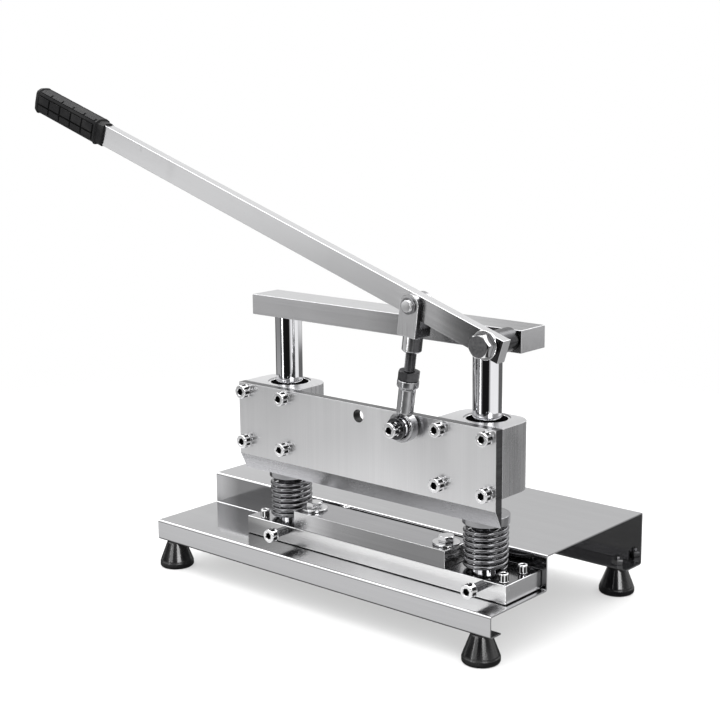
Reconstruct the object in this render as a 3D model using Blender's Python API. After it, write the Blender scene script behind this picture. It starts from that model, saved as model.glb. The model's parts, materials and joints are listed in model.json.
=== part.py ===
"""Hand-lever guillotine cutter: a blade plate slides down two posts past a fixed lower blade.

Metres, +Z up. The feet stand on Z = 0 and the outline's middle is on the Z axis.
Inside the machine, places are counted from the plane of the two posts (Y), from the
point midway between them (X) and from the floor (Z).
"""

import math

import bmesh
import bpy
from mathutils import Matrix, Vector

# Fits and cutting
SEAT_GAP = 0.0003
RUN_GAP = 0.0003
CUT_OVERRUN = 0.002
MERGE_DISTANCE = 0.0000005

# Base sheet, folded from one plate
SHEET_THICKNESS = 0.0015
SHEET_BEND_RADIUS = 0.0024
BASE_LEFT_MARGIN = 0.134
BASE_RIGHT_MARGIN = 0.044
TRAY_APRON = 0.0288
FLANGE_DROP = 0.020
FRONT_RETURN = 0.0152
RISER_HEIGHT = 0.031
SHELF_DEPTH = 0.1595
REAR_RETURN = 0.027

# Feet, each moulded round its stud
FOOT_HEIGHT = 0.0257
FOOT_DIAMETER = 0.0332
FOOT_TOP_DIAMETER = 0.018
FOOT_RIM_HEIGHT = 0.007
FOOT_EDGE_ROUND = 0.0015
FOOT_END_INSET = 0.016
FOOT_FRONT_INSET = 0.0095
FOOT_REAR_INSET = 0.0168
FOOT_STUD_DIAMETER = 0.006
FOOT_NUT_WIDTH = 0.010
FOOT_NUT_HEIGHT = 0.005
FOOT_STUD_PROUD = 0.0025

# Base bar that carries the posts
BAR_HEIGHT = 0.017
BAR_DEPTH = 0.0515
BAR_FRONT_REACH = 0.0246
BAR_LEFT_MARGIN = 0.036
BAR_RIGHT_MARGIN = 0.039
BAR_RISER_GAP = 0.0006
BAR_EDGE_BREAK = 0.0005

# Screws standing up through the bar's ends
BAR_SCREW_DIAMETER = 0.005
BAR_SCREW_HEAD_DIAMETER = 0.0085
BAR_SCREW_HEAD_HEIGHT = 0.0078
BAR_SCREW_SOCKET = 0.004
BAR_SCREW_SOCKET_DEPTH = 0.003
BAR_SCREW_LEFT_INSET = 0.0175
BAR_SCREW_RIGHT_INSET = 0.0075
BAR_SCREW_FRONT_INSET = 0.0068
BAR_SCREW_LEFT_PITCH = 0.0356
BAR_SCREW_RIGHT_PITCH = 0.028
BAR_SCREW_TIP = 0.0015

# Screws lying in the bar beside the posts
CLAMP_SCREW_DIAMETER = 0.008
CLAMP_SCREW_HEAD_DIAMETER = 0.0125
CLAMP_SCREW_HEAD_HEIGHT = 0.008
CLAMP_SCREW_SOCKET = 0.006
CLAMP_SCREW_SOCKET_DEPTH = 0.004
CLAMP_SCREW_STANDOFF = 0.016
CLAMP_SCREW_DEPTH = 0.014
CLAMP_SCREW_OFFSET = 0.0153
CLAMP_SCREW_DROP = 0.0042

# Fixed lower blade
LOWER_BLADE_POST_OFFSET = 0.026
LOWER_BLADE_DEPTH = 0.0386
LOWER_BLADE_HEIGHT = 0.016
LOWER_BLADE_EDGE_BREAK = 0.0006
LOWER_BOLT_INSET = 0.011
LOWER_BOLT_DIAMETER = 0.008
LOWER_BOLT_HEAD_WIDTH = 0.013
LOWER_BOLT_HEAD_HEIGHT = 0.0053
LOWER_BOLT_GRIP_DEPTH = 0.012
LOWER_BOLT_FRONT_SHARE = 0.44
LOWER_WASHER_DIAMETER = 0.0246
LOWER_WASHER_THICKNESS = 0.002
STOP_SCREW_INSET = 0.0278
STOP_SCREW_DIAMETER = 0.004
STOP_SCREW_HEAD_DIAMETER = 0.007
STOP_SCREW_HEAD_HEIGHT = 0.004
STOP_SCREW_SOCKET = 0.003
STOP_SCREW_SOCKET_DEPTH = 0.002
STOP_SCREW_RISE = 0.0005

# Guide posts
POST_DIAMETER = 0.025
POST_SPACING = 0.230
POST_CHAMFER = 0.001
POST_SOCKET_DEPTH = 0.0115

# Crossbeam over the posts
BEAM_CLEAR_HEIGHT = 0.214
BEAM_HEIGHT = 0.019
BEAM_DEPTH = 0.034
BEAM_LEFT_MARGIN = 0.030
BEAM_RIGHT_MARGIN = 0.0455
BEAM_EDGE_BREAK = 0.0006

# Upper blade and what it is screwed to
BLADE_OPENING = 0.033
BLADE_OVERLAP = 0.0015
BLADE_CLEARANCE = 0.0004
PLATE_HEIGHT = 0.0847
PLATE_THICKNESS = 0.0085
BEVEL_HEIGHT = 0.0157
BEVEL_LAND = 0.0006
PLATE_HOLE_DIAMETER = 0.0108
PLATE_HOLE_DROP = 0.0104
BLOCK_WIDTH = 0.068
BLOCK_HEIGHT = 0.060
BLOCK_DEPTH = 0.046
BLOCK_CORNER_RADIUS = 0.018
BLADE_SCREW_INSET = 0.0095
BLADE_SCREW_PITCH = 0.048
BLADE_SCREW_MIDDLE_DROP = 0.0314
BLADE_SCREW_DIAMETER = 0.007
BLADE_SCREW_HEAD_DIAMETER = 0.0124
BLADE_SCREW_HEAD_HEIGHT = 0.008
BLADE_SCREW_SOCKET = 0.006
BLADE_SCREW_SOCKET_DEPTH = 0.004
BLADE_SCREW_DEPTH = 0.010
BUSH_DIAMETER = 0.040
BUSH_RECESS = 0.0008

# Buffer springs and their caps
CAP_DIAMETER = 0.0415
CAP_THICKNESS = 0.0082
CAP_EDGE_BREAK = 0.0008
SPRING_LENGTH = 0.0413
SPRING_DIAMETER = 0.040
SPRING_WIRE = 0.0033
SPRING_TURNS = 7.5
SPRING_CLOSED_GAP = 0.0006
SPRING_POINTS_PER_TURN = 9

# Lever and its pivot
LEVER_HEIGHT = 0.020
LEVER_THICKNESS = 0.010
LEVER_EDGE_BREAK = 0.0006
LEVER_TAIL = 0.015
LEVER_REACH = 0.586
LEVER_ARM = 0.0783
LEVER_REST_DEGREES = 18.2
PIVOT_POST_OFFSET = 0.0338
PIVOT_RISE = 0.0013
PIVOT_DIAMETER = 0.012
PIVOT_HEAD_WIDTH = 0.018
PIVOT_HEAD_HEIGHT = 0.0075
PIVOT_GRIP_DEPTH = 0.026
PIVOT_WASHER_DIAMETER = 0.0245
PIVOT_WASHER_THICKNESS = 0.0025
PIVOT_SPACER_DIAMETER = 0.020

# Rubber grip
GRIP_LENGTH = 0.1075
GRIP_HEIGHT = 0.0258
GRIP_DEPTH = 0.0188
GRIP_END_WALL = 0.008
GRIP_COLLAR_LENGTH = 0.009
GRIP_COLLAR_WALL = 0.0022
GRIP_RIM = 0.0035
GRIP_END_ROUND = 0.004
GRIP_GROOVE = 0.0018
GRIP_PAD_RISE = 0.0008
GRIP_PAD_COLUMNS = 5
# Half outline of the grip's section, front side, as shares of half depth and half height
GRIP_SECTION_SHARES = ((0.52, 1.0), (0.84, 0.86), (1.0, 0.58), (1.0, -0.14), (0.90, -0.80), (0.58, -1.0))

# Link between lever and blade
FORK_WIDTH = 0.020
FORK_EAR_GAP = 0.0003
FORK_BODY_DROP = 0.0268
FORK_SLOT_DROP = 0.0185
FORK_NECK_DIAMETER = 0.017
FORK_NECK_LENGTH = 0.0141
FORK_NECK_CHAMFER = 0.0015
FORK_PIN_DIAMETER = 0.010
FORK_PIN_PROUD = 0.0042
FORK_PIN_HEAD_DIAMETER = 0.014
FORK_PIN_HEAD_HEIGHT = 0.002
FORK_CLIP_DIAMETER = 0.0145
FORK_CLIP_THICKNESS = 0.0015
STUD_DIAMETER = 0.0096
STUD_HOLD = 0.018
LOCK_NUT_WIDTH = 0.017
LOCK_NUT_HEIGHT = 0.008
ROD_END_REACH = 0.0416
ROD_END_RING_DIAMETER = 0.0264
ROD_END_RING_THICKNESS = 0.0105
ROD_END_SHANK_DIAMETER = 0.0148
ROD_END_COLLAR_DIAMETER = 0.0188
ROD_END_COLLAR_HEIGHT = 0.0055
ROD_END_CHAMFER = 0.0012
BALL_DIAMETER = 0.020
BALL_WIDTH = 0.014
BALL_PIVOT_CLEARANCE = 0.0016
LINK_SCREW_POST_OFFSET = 0.0552
LINK_SCREW_DROP = 0.0083
LINK_SCREW_DIAMETER = 0.008
LINK_SCREW_HEAD_DIAMETER = 0.013
LINK_SCREW_HEAD_HEIGHT = 0.008
LINK_SCREW_SOCKET = 0.006
LINK_SCREW_SOCKET_DEPTH = 0.004
LINK_WASHER_DIAMETER = 0.019
LINK_WASHER_THICKNESS = 0.004
LINK_SPACER_DIAMETER = 0.018
LINK_SPACER_THICKNESS = 0.003
HEAD_BREAK = 0.0006

# Sides that meet at more than this angle keep a sharp edge
SHARP_ANGLE = math.radians(24)

# Facet counts
ROUND_FINE = 32
ROUND_MID = 24
ROUND_SMALL = 16
ROUND_TINY = 14
BEND_STEPS = 3
CORNER_STEPS = 5

# Heights, from the floor up
RETURN_BOTTOM = FOOT_HEIGHT + SEAT_GAP
TRAY_TOP = RETURN_BOTTOM + FLANGE_DROP
SHELF_TOP = TRAY_TOP + RISER_HEIGHT
BAR_BOTTOM = TRAY_TOP + SEAT_GAP
BAR_TOP = BAR_BOTTOM + BAR_HEIGHT
LOWER_BLADE_TOP = BAR_TOP + SEAT_GAP + LOWER_BLADE_HEIGHT
EDGE_HEIGHT = LOWER_BLADE_TOP + BLADE_OPENING
PLATE_TOP = EDGE_HEIGHT + PLATE_HEIGHT
BLOCK_BOTTOM = PLATE_TOP - BLOCK_HEIGHT
BEAM_BOTTOM = TRAY_TOP + BEAM_CLEAR_HEIGHT
SPRING_BOTTOM = BAR_TOP + SEAT_GAP
CAP_BOTTOM = SPRING_BOTTOM + SPRING_LENGTH + SEAT_GAP
PIVOT_HEIGHT = BEAM_BOTTOM + BEAM_HEIGHT / 2 + PIVOT_RISE
LINK_SCREW_HEIGHT = PLATE_TOP - LINK_SCREW_DROP

# Places from front to back
BAR_FRONT = -BAR_FRONT_REACH
BAR_BACK = BAR_FRONT + BAR_DEPTH
TRAY_FRONT = BAR_FRONT - TRAY_APRON
RISER_FRONT = BAR_BACK + BAR_RISER_GAP
SHELF_BACK = RISER_FRONT + SHELF_DEPTH
PLATE_BACK = BAR_FRONT - BLADE_CLEARANCE
PLATE_FRONT = PLATE_BACK - PLATE_THICKNESS
BLOCK_FRONT = PLATE_BACK + SEAT_GAP
BALL_BACK = PLATE_FRONT - LINK_SPACER_THICKNESS - 2 * SEAT_GAP
LINK_PLANE = BALL_BACK - BALL_WIDTH / 2
LEVER_FRONT = LINK_PLANE - LEVER_THICKNESS / 2
LEVER_BACK = LINK_PLANE + LEVER_THICKNESS / 2
BEAM_FRONT = -BEAM_DEPTH / 2

# Places from left to right
POST_X = POST_SPACING / 2
BAR_LEFT = -POST_X - BAR_LEFT_MARGIN
BAR_RIGHT = POST_X + BAR_RIGHT_MARGIN
BEAM_LEFT = -POST_X - BEAM_LEFT_MARGIN
BEAM_RIGHT = POST_X + BEAM_RIGHT_MARGIN
BASE_LEFT = -POST_X - BASE_LEFT_MARGIN
BASE_RIGHT = POST_X + BASE_RIGHT_MARGIN
LOWER_BLADE_HALF = POST_X - LOWER_BLADE_POST_OFFSET
PLATE_LENGTH = POST_SPACING + BLOCK_WIDTH
LINK_SCREW_X = POST_X - LINK_SCREW_POST_OFFSET
PIVOT_X = POST_X + PIVOT_POST_OFFSET

# The lever and the link at rest
LEVER_REST = math.radians(LEVER_REST_DEGREES)
FORK_PIN_X = PIVOT_X - LEVER_ARM * math.cos(LEVER_REST)
FORK_PIN_HEIGHT = PIVOT_HEIGHT + LEVER_ARM * math.sin(LEVER_REST)
LINK_LENGTH = math.hypot(FORK_PIN_X - LINK_SCREW_X, FORK_PIN_HEIGHT - LINK_SCREW_HEIGHT)
LINK_LEAN = math.atan2(FORK_PIN_X - LINK_SCREW_X, FORK_PIN_HEIGHT - LINK_SCREW_HEIGHT)
GRIP_END = LEVER_REACH + SEAT_GAP + GRIP_END_WALL

# Outline of the whole machine, to centre it
OUTLINE_LEFT = (
    PIVOT_X - GRIP_END * math.cos(LEVER_REST) - GRIP_HEIGHT / 2 * math.sin(LEVER_REST)
    + GRIP_END_ROUND * math.sin(LEVER_REST)
)
OUTLINE_RIGHT = max(
    BEAM_RIGHT,
    BASE_RIGHT,
    PIVOT_X + LEVER_TAIL * math.cos(LEVER_REST) + LEVER_HEIGHT / 2 * math.sin(LEVER_REST),
)
OUTLINE_FRONT = min(
    TRAY_FRONT,
    BALL_BACK - BALL_WIDTH - LINK_WASHER_THICKNESS - 2 * SEAT_GAP - LINK_SCREW_HEAD_HEIGHT,
)
OUTLINE_BACK = SHELF_BACK


def clear_scene():
    for old in list(bpy.data.objects):
        bpy.data.objects.remove(old, do_unlink=True)


def make_material(name, color, metallic, roughness):
    material = bpy.data.materials.new(name)
    material.use_nodes = True
    shader = material.node_tree.nodes["Principled BSDF"]
    shader.inputs["Base Color"].default_value = (*color, 1.0)
    shader.inputs["Metallic"].default_value = metallic
    shader.inputs["Roughness"].default_value = roughness
    material.diffuse_color = (*color, 1.0)
    return material


def finish_mesh(bm, name):
    """Turn a bmesh into a mesh with its faces out and its round sides smooth."""
    bmesh.ops.remove_doubles(bm, verts=bm.verts, dist=MERGE_DISTANCE)
    bmesh.ops.recalc_face_normals(bm, faces=bm.faces)
    mesh = bpy.data.meshes.new(name)
    bm.to_mesh(mesh)
    bm.free()
    mesh.shade_smooth()
    mesh.set_sharp_from_angle(angle=SHARP_ANGLE)
    return mesh


def add_piece(name, mesh, material, parent, place=(0, 0, 0), turn=(0, 0, 0)):
    """Add one named sub-part, carried by an empty."""
    piece = bpy.data.objects.new(name, mesh)
    bpy.context.scene.collection.objects.link(piece)
    piece.parent = parent
    piece.location = place
    piece.rotation_euler = turn
    if not mesh.materials:
        mesh.materials.append(material)
    return piece


def add_empty(name, parent, place=(0, 0, 0), turn=(0, 0, 0)):
    empty = bpy.data.objects.new(name, None)
    bpy.context.scene.collection.objects.link(empty)
    empty.parent = parent
    empty.location = place
    empty.rotation_euler = turn
    return empty


def turned(profile, segments, looped=False):
    """Spin a profile of (radius, height) points round Z. A looped profile leaves a bore."""
    bm = bmesh.new()
    points = [bm.verts.new((radius, 0, height)) for radius, height in profile]
    edges = [bm.edges.new(pair) for pair in zip(points, points[1:])]
    if looped:
        edges.append(bm.edges.new((points[-1], points[0])))
    bmesh.ops.spin(
        bm, geom=points + edges, cent=(0, 0, 0), axis=(0, 0, 1), dvec=(0, 0, 0),
        angle=math.tau, steps=segments, use_merge=True, use_duplicate=False,
    )
    return bm


def prism(outline, low, high):
    """Stand an outline of (x, y) points up between two heights."""
    bm = bmesh.new()
    face = bm.faces.new([bm.verts.new((x, y, low)) for x, y in outline])
    grown = bmesh.ops.extrude_face_region(bm, geom=[face])["geom"]
    tops = [item for item in grown if isinstance(item, bmesh.types.BMVert)]
    bmesh.ops.translate(bm, verts=tops, vec=(0, 0, high - low))
    return bm


def block(x_range, y_range, z_range):
    (x0, x1), (y0, y1) = x_range, y_range
    return prism([(x0, y0), (x1, y0), (x1, y1), (x0, y1)], *z_range)


def hexagon(width_across_flats):
    radius = width_across_flats / math.sqrt(3)
    return [
        (radius * math.cos(math.tau * step / 6), radius * math.sin(math.tau * step / 6))
        for step in range(6)
    ]


def arc(center, radius, start, end, steps):
    """Points of an arc, its angles in degrees."""
    points = []
    for step in range(steps + 1):
        angle = math.radians(start + (end - start) * step / steps)
        points.append((center[0] + radius * math.cos(angle), center[1] + radius * math.sin(angle)))
    return points


def break_edges(bm, width, steps=1):
    """Bevel every sharp edge of a plain block a little."""
    bmesh.ops.recalc_face_normals(bm, faces=bm.faces)
    sharp = [edge for edge in bm.edges if edge.calc_face_angle(0) > math.radians(50)]
    bmesh.ops.bevel(
        bm, geom=sharp, offset=width, segments=steps, profile=0.5, affect="EDGES", clamp_overlap=True,
    )
    return bm


def add_shapes(bm, shapes):
    """Copy other bmeshes, each with a matrix, into one."""
    for shape, matrix in shapes:
        carrier = bpy.data.meshes.new("carrier")
        bmesh.ops.transform(shape, matrix=matrix, verts=shape.verts)
        shape.to_mesh(carrier)
        shape.free()
        bm.from_mesh(carrier)
        bpy.data.meshes.remove(carrier)
    return bm


def round_bar(radius, low, high, segments=ROUND_MID):
    return turned([(0, low), (radius, low), (radius, high), (0, high)], segments)


def cut(piece, name, shapes, operation="DIFFERENCE"):
    """Cut shapes out of a piece, or join them to it. Each is a bmesh and its place in the piece."""
    tool = bpy.data.objects.new(name, finish_mesh(add_shapes(bmesh.new(), shapes), name))
    bpy.context.scene.collection.objects.link(tool)
    tool.parent = piece
    tool.hide_render = True
    tool.display_type = "WIRE"
    modifier = piece.modifiers.new(name, "BOOLEAN")
    modifier.operation = operation
    modifier.solver = "EXACT"
    modifier.object = tool


def settled(piece):
    """Make the cut shape the piece's own mesh, so that copies can share it."""
    depsgraph = bpy.context.evaluated_depsgraph_get()
    mesh = bpy.data.meshes.new_from_object(piece.evaluated_get(depsgraph))
    mesh.shade_smooth()
    mesh.set_sharp_from_angle(angle=SHARP_ANGLE)
    tools = [modifier.object for modifier in piece.modifiers]
    piece.modifiers.clear()
    piece.data = mesh
    for tool in tools:
        bpy.data.objects.remove(tool, do_unlink=True)
    return piece


FACING_FRONT = (math.radians(90), 0, 0)
FACING_BACK = (math.radians(-90), 0, 0)
FRONTWARD = Matrix.Rotation(math.radians(90), 4, "X")


def at(x, y, z):
    return Matrix.Translation(Vector((x, y, z)))


def along_y(x, y, z):
    """A place whose local +Z points to the front."""
    return at(x, y, z) @ FRONTWARD


def socket_screw(name, material, parent, sizes, segments=ROUND_SMALL):
    """A cap screw, its underside at the origin and its head up. Sizes: shank, head, height, socket."""
    shank, length, head, height, socket, socket_depth = sizes
    profile = [
        (0, -length), (shank / 2, -length), (shank / 2, 0), (head / 2, 0),
        (head / 2, height - HEAD_BREAK), (head / 2 - HEAD_BREAK, height), (0, height),
    ]
    screw = add_piece(name, finish_mesh(turned(profile, segments), name), material, parent)
    recess = prism(hexagon(socket), height - socket_depth, height + CUT_OVERRUN)
    cut(screw, name + "_socket", [(recess, Matrix.Identity(4))])
    return settled(screw)


def hex_head(name, material, parent, width, height, shank, length):
    """A hexagon bolt, its underside at the origin, the head's corners turned off by a cone."""
    bolt = add_piece(name, finish_mesh(prism(hexagon(width), 0, height), name), material, parent)
    corner = width / math.sqrt(3)
    cone = turned(
        [(0, -CUT_OVERRUN), (corner + CUT_OVERRUN, -CUT_OVERRUN), (corner + CUT_OVERRUN, height / 2),
         (corner, height - (corner - width / 2)), (width / 2, height), (0, height)],
        ROUND_MID,
    )
    cut(bolt, name + "_crown", [(cone, Matrix.Identity(4))], "INTERSECT")
    rod = round_bar(shank / 2, -length, height / 2, ROUND_SMALL)
    cut(bolt, name + "_shaft", [(rod, Matrix.Identity(4))], "UNION")
    return settled(bolt)


def hex_nut(name, material, parent, width, height, bore):
    """A nut standing on its origin."""
    nut = add_piece(name, finish_mesh(prism(hexagon(width), 0, height), name), material, parent)
    hole = round_bar(bore / 2, -CUT_OVERRUN, height + CUT_OVERRUN, ROUND_SMALL)
    cut(nut, name + "_bore", [(hole, Matrix.Identity(4))])
    return settled(nut)


def ring(outer, inner, thickness, segments=ROUND_MID, edge_break=0):
    """A washer or collar standing on its origin."""
    profile = [(inner / 2, 0), (outer / 2 - edge_break, 0)]
    if edge_break:
        profile += [(outer / 2, edge_break), (outer / 2, thickness - edge_break)]
        profile += [(outer / 2 - edge_break, thickness)]
    else:
        profile += [(outer / 2, thickness)]
    profile += [(inner / 2, thickness)]
    return turned(profile, segments, looped=True)


def copy_piece(name, source, parent, place, turn=(0, 0, 0)):
    return add_piece(name, source.data, None, parent, place, turn)


def folded_section(path, thickness, radius, steps):
    """Closed outline of a sheet folded along a centre line of (y, z) points."""
    points = [Vector(point) for point in path]
    line = [points[0]]
    for before, corner, after in zip(points, points[1:], points[2:]):
        inward, outward = (before - corner).normalized(), (after - corner).normalized()
        half = inward.angle(outward) / 2
        middle_radius = radius - thickness / 2
        reach = middle_radius / math.tan(half)
        center = corner + (inward + outward).normalized() * middle_radius / math.sin(half)
        start, end = corner + inward * reach - center, corner + outward * reach - center
        sweep = math.atan2(start.x * end.y - start.y * end.x, start.dot(end))
        for step in range(steps + 1):
            line.append(center + Matrix.Rotation(sweep * step / steps, 2) @ start)
    line.append(points[-1])
    left, right = [], []
    for index, point in enumerate(line):
        before = line[max(index - 1, 0)]
        after = line[min(index + 1, len(line) - 1)]
        along = (after - before).normalized()
        side = Vector((-along.y, along.x)) * thickness / 2
        left.append(point + side)
        right.append(point - side)
    return [(point.x, point.y) for point in left + right[::-1]]


def make_base_sheet(frame, steel):
    half = SHEET_THICKNESS / 2
    path = [
        (TRAY_FRONT + FRONT_RETURN, RETURN_BOTTOM + half),
        (TRAY_FRONT + half, RETURN_BOTTOM + half),
        (TRAY_FRONT + half, TRAY_TOP - half),
        (RISER_FRONT + half, TRAY_TOP - half),
        (RISER_FRONT + half, SHELF_TOP - half),
        (SHELF_BACK - half, SHELF_TOP - half),
        (SHELF_BACK - half, RETURN_BOTTOM + half),
        (SHELF_BACK - REAR_RETURN, RETURN_BOTTOM + half),
    ]
    outline = folded_section(path, SHEET_THICKNESS, SHEET_BEND_RADIUS, BEND_STEPS)
    bm = prism(outline, BASE_LEFT, BASE_RIGHT)
    # The outline's y and z lie in the prism's x and y, and its length runs along X
    to_world = Matrix(((0, 0, 1, 0), (1, 0, 0, 0), (0, 1, 0, 0), (0, 0, 0, 1)))
    bmesh.ops.transform(bm, matrix=to_world, verts=bm.verts)
    sheet = add_piece("base_sheet", finish_mesh(bm, "base_sheet"), steel, frame)
    stud_hole = FOOT_STUD_DIAMETER / 2 + RUN_GAP
    screw_hole = BAR_SCREW_DIAMETER / 2 + RUN_GAP
    holes = []
    for x, y in foot_places():
        low, high = RETURN_BOTTOM - CUT_OVERRUN, RETURN_BOTTOM + SHEET_THICKNESS + CUT_OVERRUN
        holes.append((round_bar(stud_hole, low, high, ROUND_TINY), at(x, y, 0)))
    for x, y in bar_screw_places():
        low, high = TRAY_TOP - SHEET_THICKNESS - CUT_OVERRUN, TRAY_TOP + CUT_OVERRUN
        holes.append((round_bar(screw_hole, low, high, ROUND_TINY), at(x, y, 0)))
    cut(sheet, "base_sheet_holes", holes)
    settled(sheet)


def foot_places():
    left, right = BASE_LEFT + FOOT_END_INSET, BASE_RIGHT - FOOT_END_INSET
    front, rear = TRAY_FRONT + FOOT_FRONT_INSET, SHELF_BACK - FOOT_REAR_INSET
    return [(left, front), (right, front), (left, rear), (right, rear)]


def bar_screw_places():
    left, right = BAR_LEFT + BAR_SCREW_LEFT_INSET, BAR_RIGHT - BAR_SCREW_RIGHT_INSET
    front = BAR_FRONT + BAR_SCREW_FRONT_INSET
    rear_left, rear_right = front + BAR_SCREW_LEFT_PITCH, front + BAR_SCREW_RIGHT_PITCH
    return [(left, front), (right, front), (left, rear_left), (right, rear_right)]


CORNER_NAMES = ("front_left", "front_right", "rear_left", "rear_right")


def make_feet(frame, rubber, bright):
    nut_seat = RETURN_BOTTOM + SHEET_THICKNESS + SEAT_GAP
    stud_top = nut_seat + FOOT_NUT_HEIGHT + FOOT_STUD_PROUD
    profile = [
        (0, 0), (FOOT_DIAMETER / 2 - FOOT_EDGE_ROUND, 0), (FOOT_DIAMETER / 2, FOOT_EDGE_ROUND),
        (FOOT_DIAMETER / 2, FOOT_RIM_HEIGHT), (FOOT_TOP_DIAMETER / 2, FOOT_HEIGHT),
        (FOOT_STUD_DIAMETER / 2, FOOT_HEIGHT), (FOOT_STUD_DIAMETER / 2, stud_top), (0, stud_top),
    ]
    mesh = finish_mesh(turned(profile, ROUND_MID), "foot")
    nut = hex_nut(
        "foot_nut_" + CORNER_NAMES[0], bright, frame,
        FOOT_NUT_WIDTH, FOOT_NUT_HEIGHT, FOOT_STUD_DIAMETER + 2 * RUN_GAP,
    )
    for index, (x, y) in enumerate(foot_places()):
        add_piece("foot_" + CORNER_NAMES[index], mesh, rubber, frame, (x, y, 0))
        if index:
            nut = copy_piece("foot_nut_" + CORNER_NAMES[index], nut, frame, (0, 0, 0))
        nut.location = (x, y, nut_seat)


def make_base_bar(frame, steel):
    body = block((BAR_LEFT, BAR_RIGHT), (BAR_FRONT, BAR_BACK), (BAR_BOTTOM, BAR_TOP))
    bar = add_piece("base_bar", finish_mesh(break_edges(body, BAR_EDGE_BREAK), "base_bar"), steel, frame)
    low, high = BAR_BOTTOM - CUT_OVERRUN, BAR_TOP + CUT_OVERRUN
    holes = []
    for x in (-POST_X, POST_X):
        holes.append((round_bar(POST_DIAMETER / 2 + SEAT_GAP, low, high, ROUND_FINE), at(x, 0, 0)))
    for x, y in bar_screw_places():
        holes.append((round_bar(BAR_SCREW_DIAMETER / 2 + RUN_GAP, low, high, ROUND_TINY), at(x, y, 0)))
    for x, y in lower_bolt_places():
        bottom = BAR_TOP - LOWER_BOLT_GRIP_DEPTH - SEAT_GAP
        holes.append((round_bar(LOWER_BOLT_DIAMETER / 2 + SEAT_GAP, bottom, high, ROUND_SMALL), at(x, y, 0)))
    stop_x, stop_y = stop_screw_place()
    bottom = BAR_TOP - STOP_SCREW_HEAD_HEIGHT - SEAT_GAP
    holes.append(
        (round_bar(STOP_SCREW_DIAMETER / 2 + SEAT_GAP, bottom, high, ROUND_TINY), at(stop_x, stop_y, 0))
    )
    for x, z in clamp_places():
        depth = CLAMP_SCREW_DEPTH + SEAT_GAP
        drill = round_bar(CLAMP_SCREW_DIAMETER / 2 + SEAT_GAP, -depth, CUT_OVERRUN, ROUND_SMALL)
        holes.append((drill, along_y(x, BAR_FRONT, z)))
    cut(bar, "base_bar_holes", holes)
    settled(bar)


def clamp_places():
    height = BAR_TOP - CLAMP_SCREW_DROP
    return [(-POST_X + CLAMP_SCREW_OFFSET, height), (POST_X + CLAMP_SCREW_OFFSET, height)]


def make_bar_screws(frame, bright):
    length = BAR_HEIGHT + 2 * SEAT_GAP + SHEET_THICKNESS + BAR_SCREW_TIP
    sizes = (BAR_SCREW_DIAMETER, length, BAR_SCREW_HEAD_DIAMETER, BAR_SCREW_HEAD_HEIGHT,
             BAR_SCREW_SOCKET, BAR_SCREW_SOCKET_DEPTH)
    first = socket_screw("bar_screw_" + CORNER_NAMES[0], bright, frame, sizes, ROUND_TINY)
    for index, (x, y) in enumerate(bar_screw_places()):
        screw = first
        if index:
            screw = copy_piece("bar_screw_" + CORNER_NAMES[index], first, frame, (0, 0, 0))
        screw.location = (x, y, BAR_TOP + SEAT_GAP)


def make_clamp_screws(frame, bright):
    length = CLAMP_SCREW_STANDOFF + CLAMP_SCREW_DEPTH
    sizes = (CLAMP_SCREW_DIAMETER, length, CLAMP_SCREW_HEAD_DIAMETER, CLAMP_SCREW_HEAD_HEIGHT,
             CLAMP_SCREW_SOCKET, CLAMP_SCREW_SOCKET_DEPTH)
    first = socket_screw("clamp_screw_left", bright, frame, sizes)
    second = copy_piece("clamp_screw_right", first, frame, (0, 0, 0))
    for screw, (x, z) in zip((first, second), clamp_places()):
        screw.location = (x, BAR_FRONT - CLAMP_SCREW_STANDOFF, z)
        screw.rotation_euler = FACING_FRONT


def lower_bolt_places():
    y = BAR_FRONT + LOWER_BLADE_DEPTH * LOWER_BOLT_FRONT_SHARE
    x = LOWER_BLADE_HALF - LOWER_BOLT_INSET
    return [(-x, y), (x, y)]


def stop_screw_place():
    y = BAR_FRONT + LOWER_BLADE_DEPTH + STOP_SCREW_HEAD_DIAMETER / 2 + SEAT_GAP
    return STOP_SCREW_INSET - LOWER_BLADE_HALF, y


def make_lower_blade(frame, steel, bright):
    depth_range = (BAR_FRONT, BAR_FRONT + LOWER_BLADE_DEPTH)
    body = block((-LOWER_BLADE_HALF, LOWER_BLADE_HALF), depth_range, (BAR_TOP + SEAT_GAP, LOWER_BLADE_TOP))
    mesh = finish_mesh(break_edges(body, LOWER_BLADE_EDGE_BREAK), "lower_blade")
    blade = add_piece("lower_blade", mesh, steel, frame)
    low, high = BAR_TOP - CUT_OVERRUN, LOWER_BLADE_TOP + CUT_OVERRUN
    radius = LOWER_BOLT_DIAMETER / 2 + RUN_GAP
    cut(blade, "lower_blade_holes",
        [(round_bar(radius, low, high, ROUND_SMALL), at(x, y, 0)) for x, y in lower_bolt_places()])
    settled(blade)
    washer = ring(LOWER_WASHER_DIAMETER, LOWER_BOLT_DIAMETER + 2 * RUN_GAP, LOWER_WASHER_THICKNESS)
    washer = finish_mesh(washer, "lower_blade_washer")
    under_head = LOWER_BLADE_TOP + 2 * SEAT_GAP + LOWER_WASHER_THICKNESS
    length = under_head - BAR_TOP + LOWER_BOLT_GRIP_DEPTH
    bolt = hex_head("lower_blade_bolt_left", bright, frame, LOWER_BOLT_HEAD_WIDTH,
                       LOWER_BOLT_HEAD_HEIGHT, LOWER_BOLT_DIAMETER, length)
    other = copy_piece("lower_blade_bolt_right", bolt, frame, (0, 0, 0))
    for side, screw, (x, y) in zip(("left", "right"), (bolt, other), lower_bolt_places()):
        screw.location = (x, y, under_head)
        add_piece("lower_blade_washer_" + side, washer, bright, frame, (x, y, LOWER_BLADE_TOP + SEAT_GAP))


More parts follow.
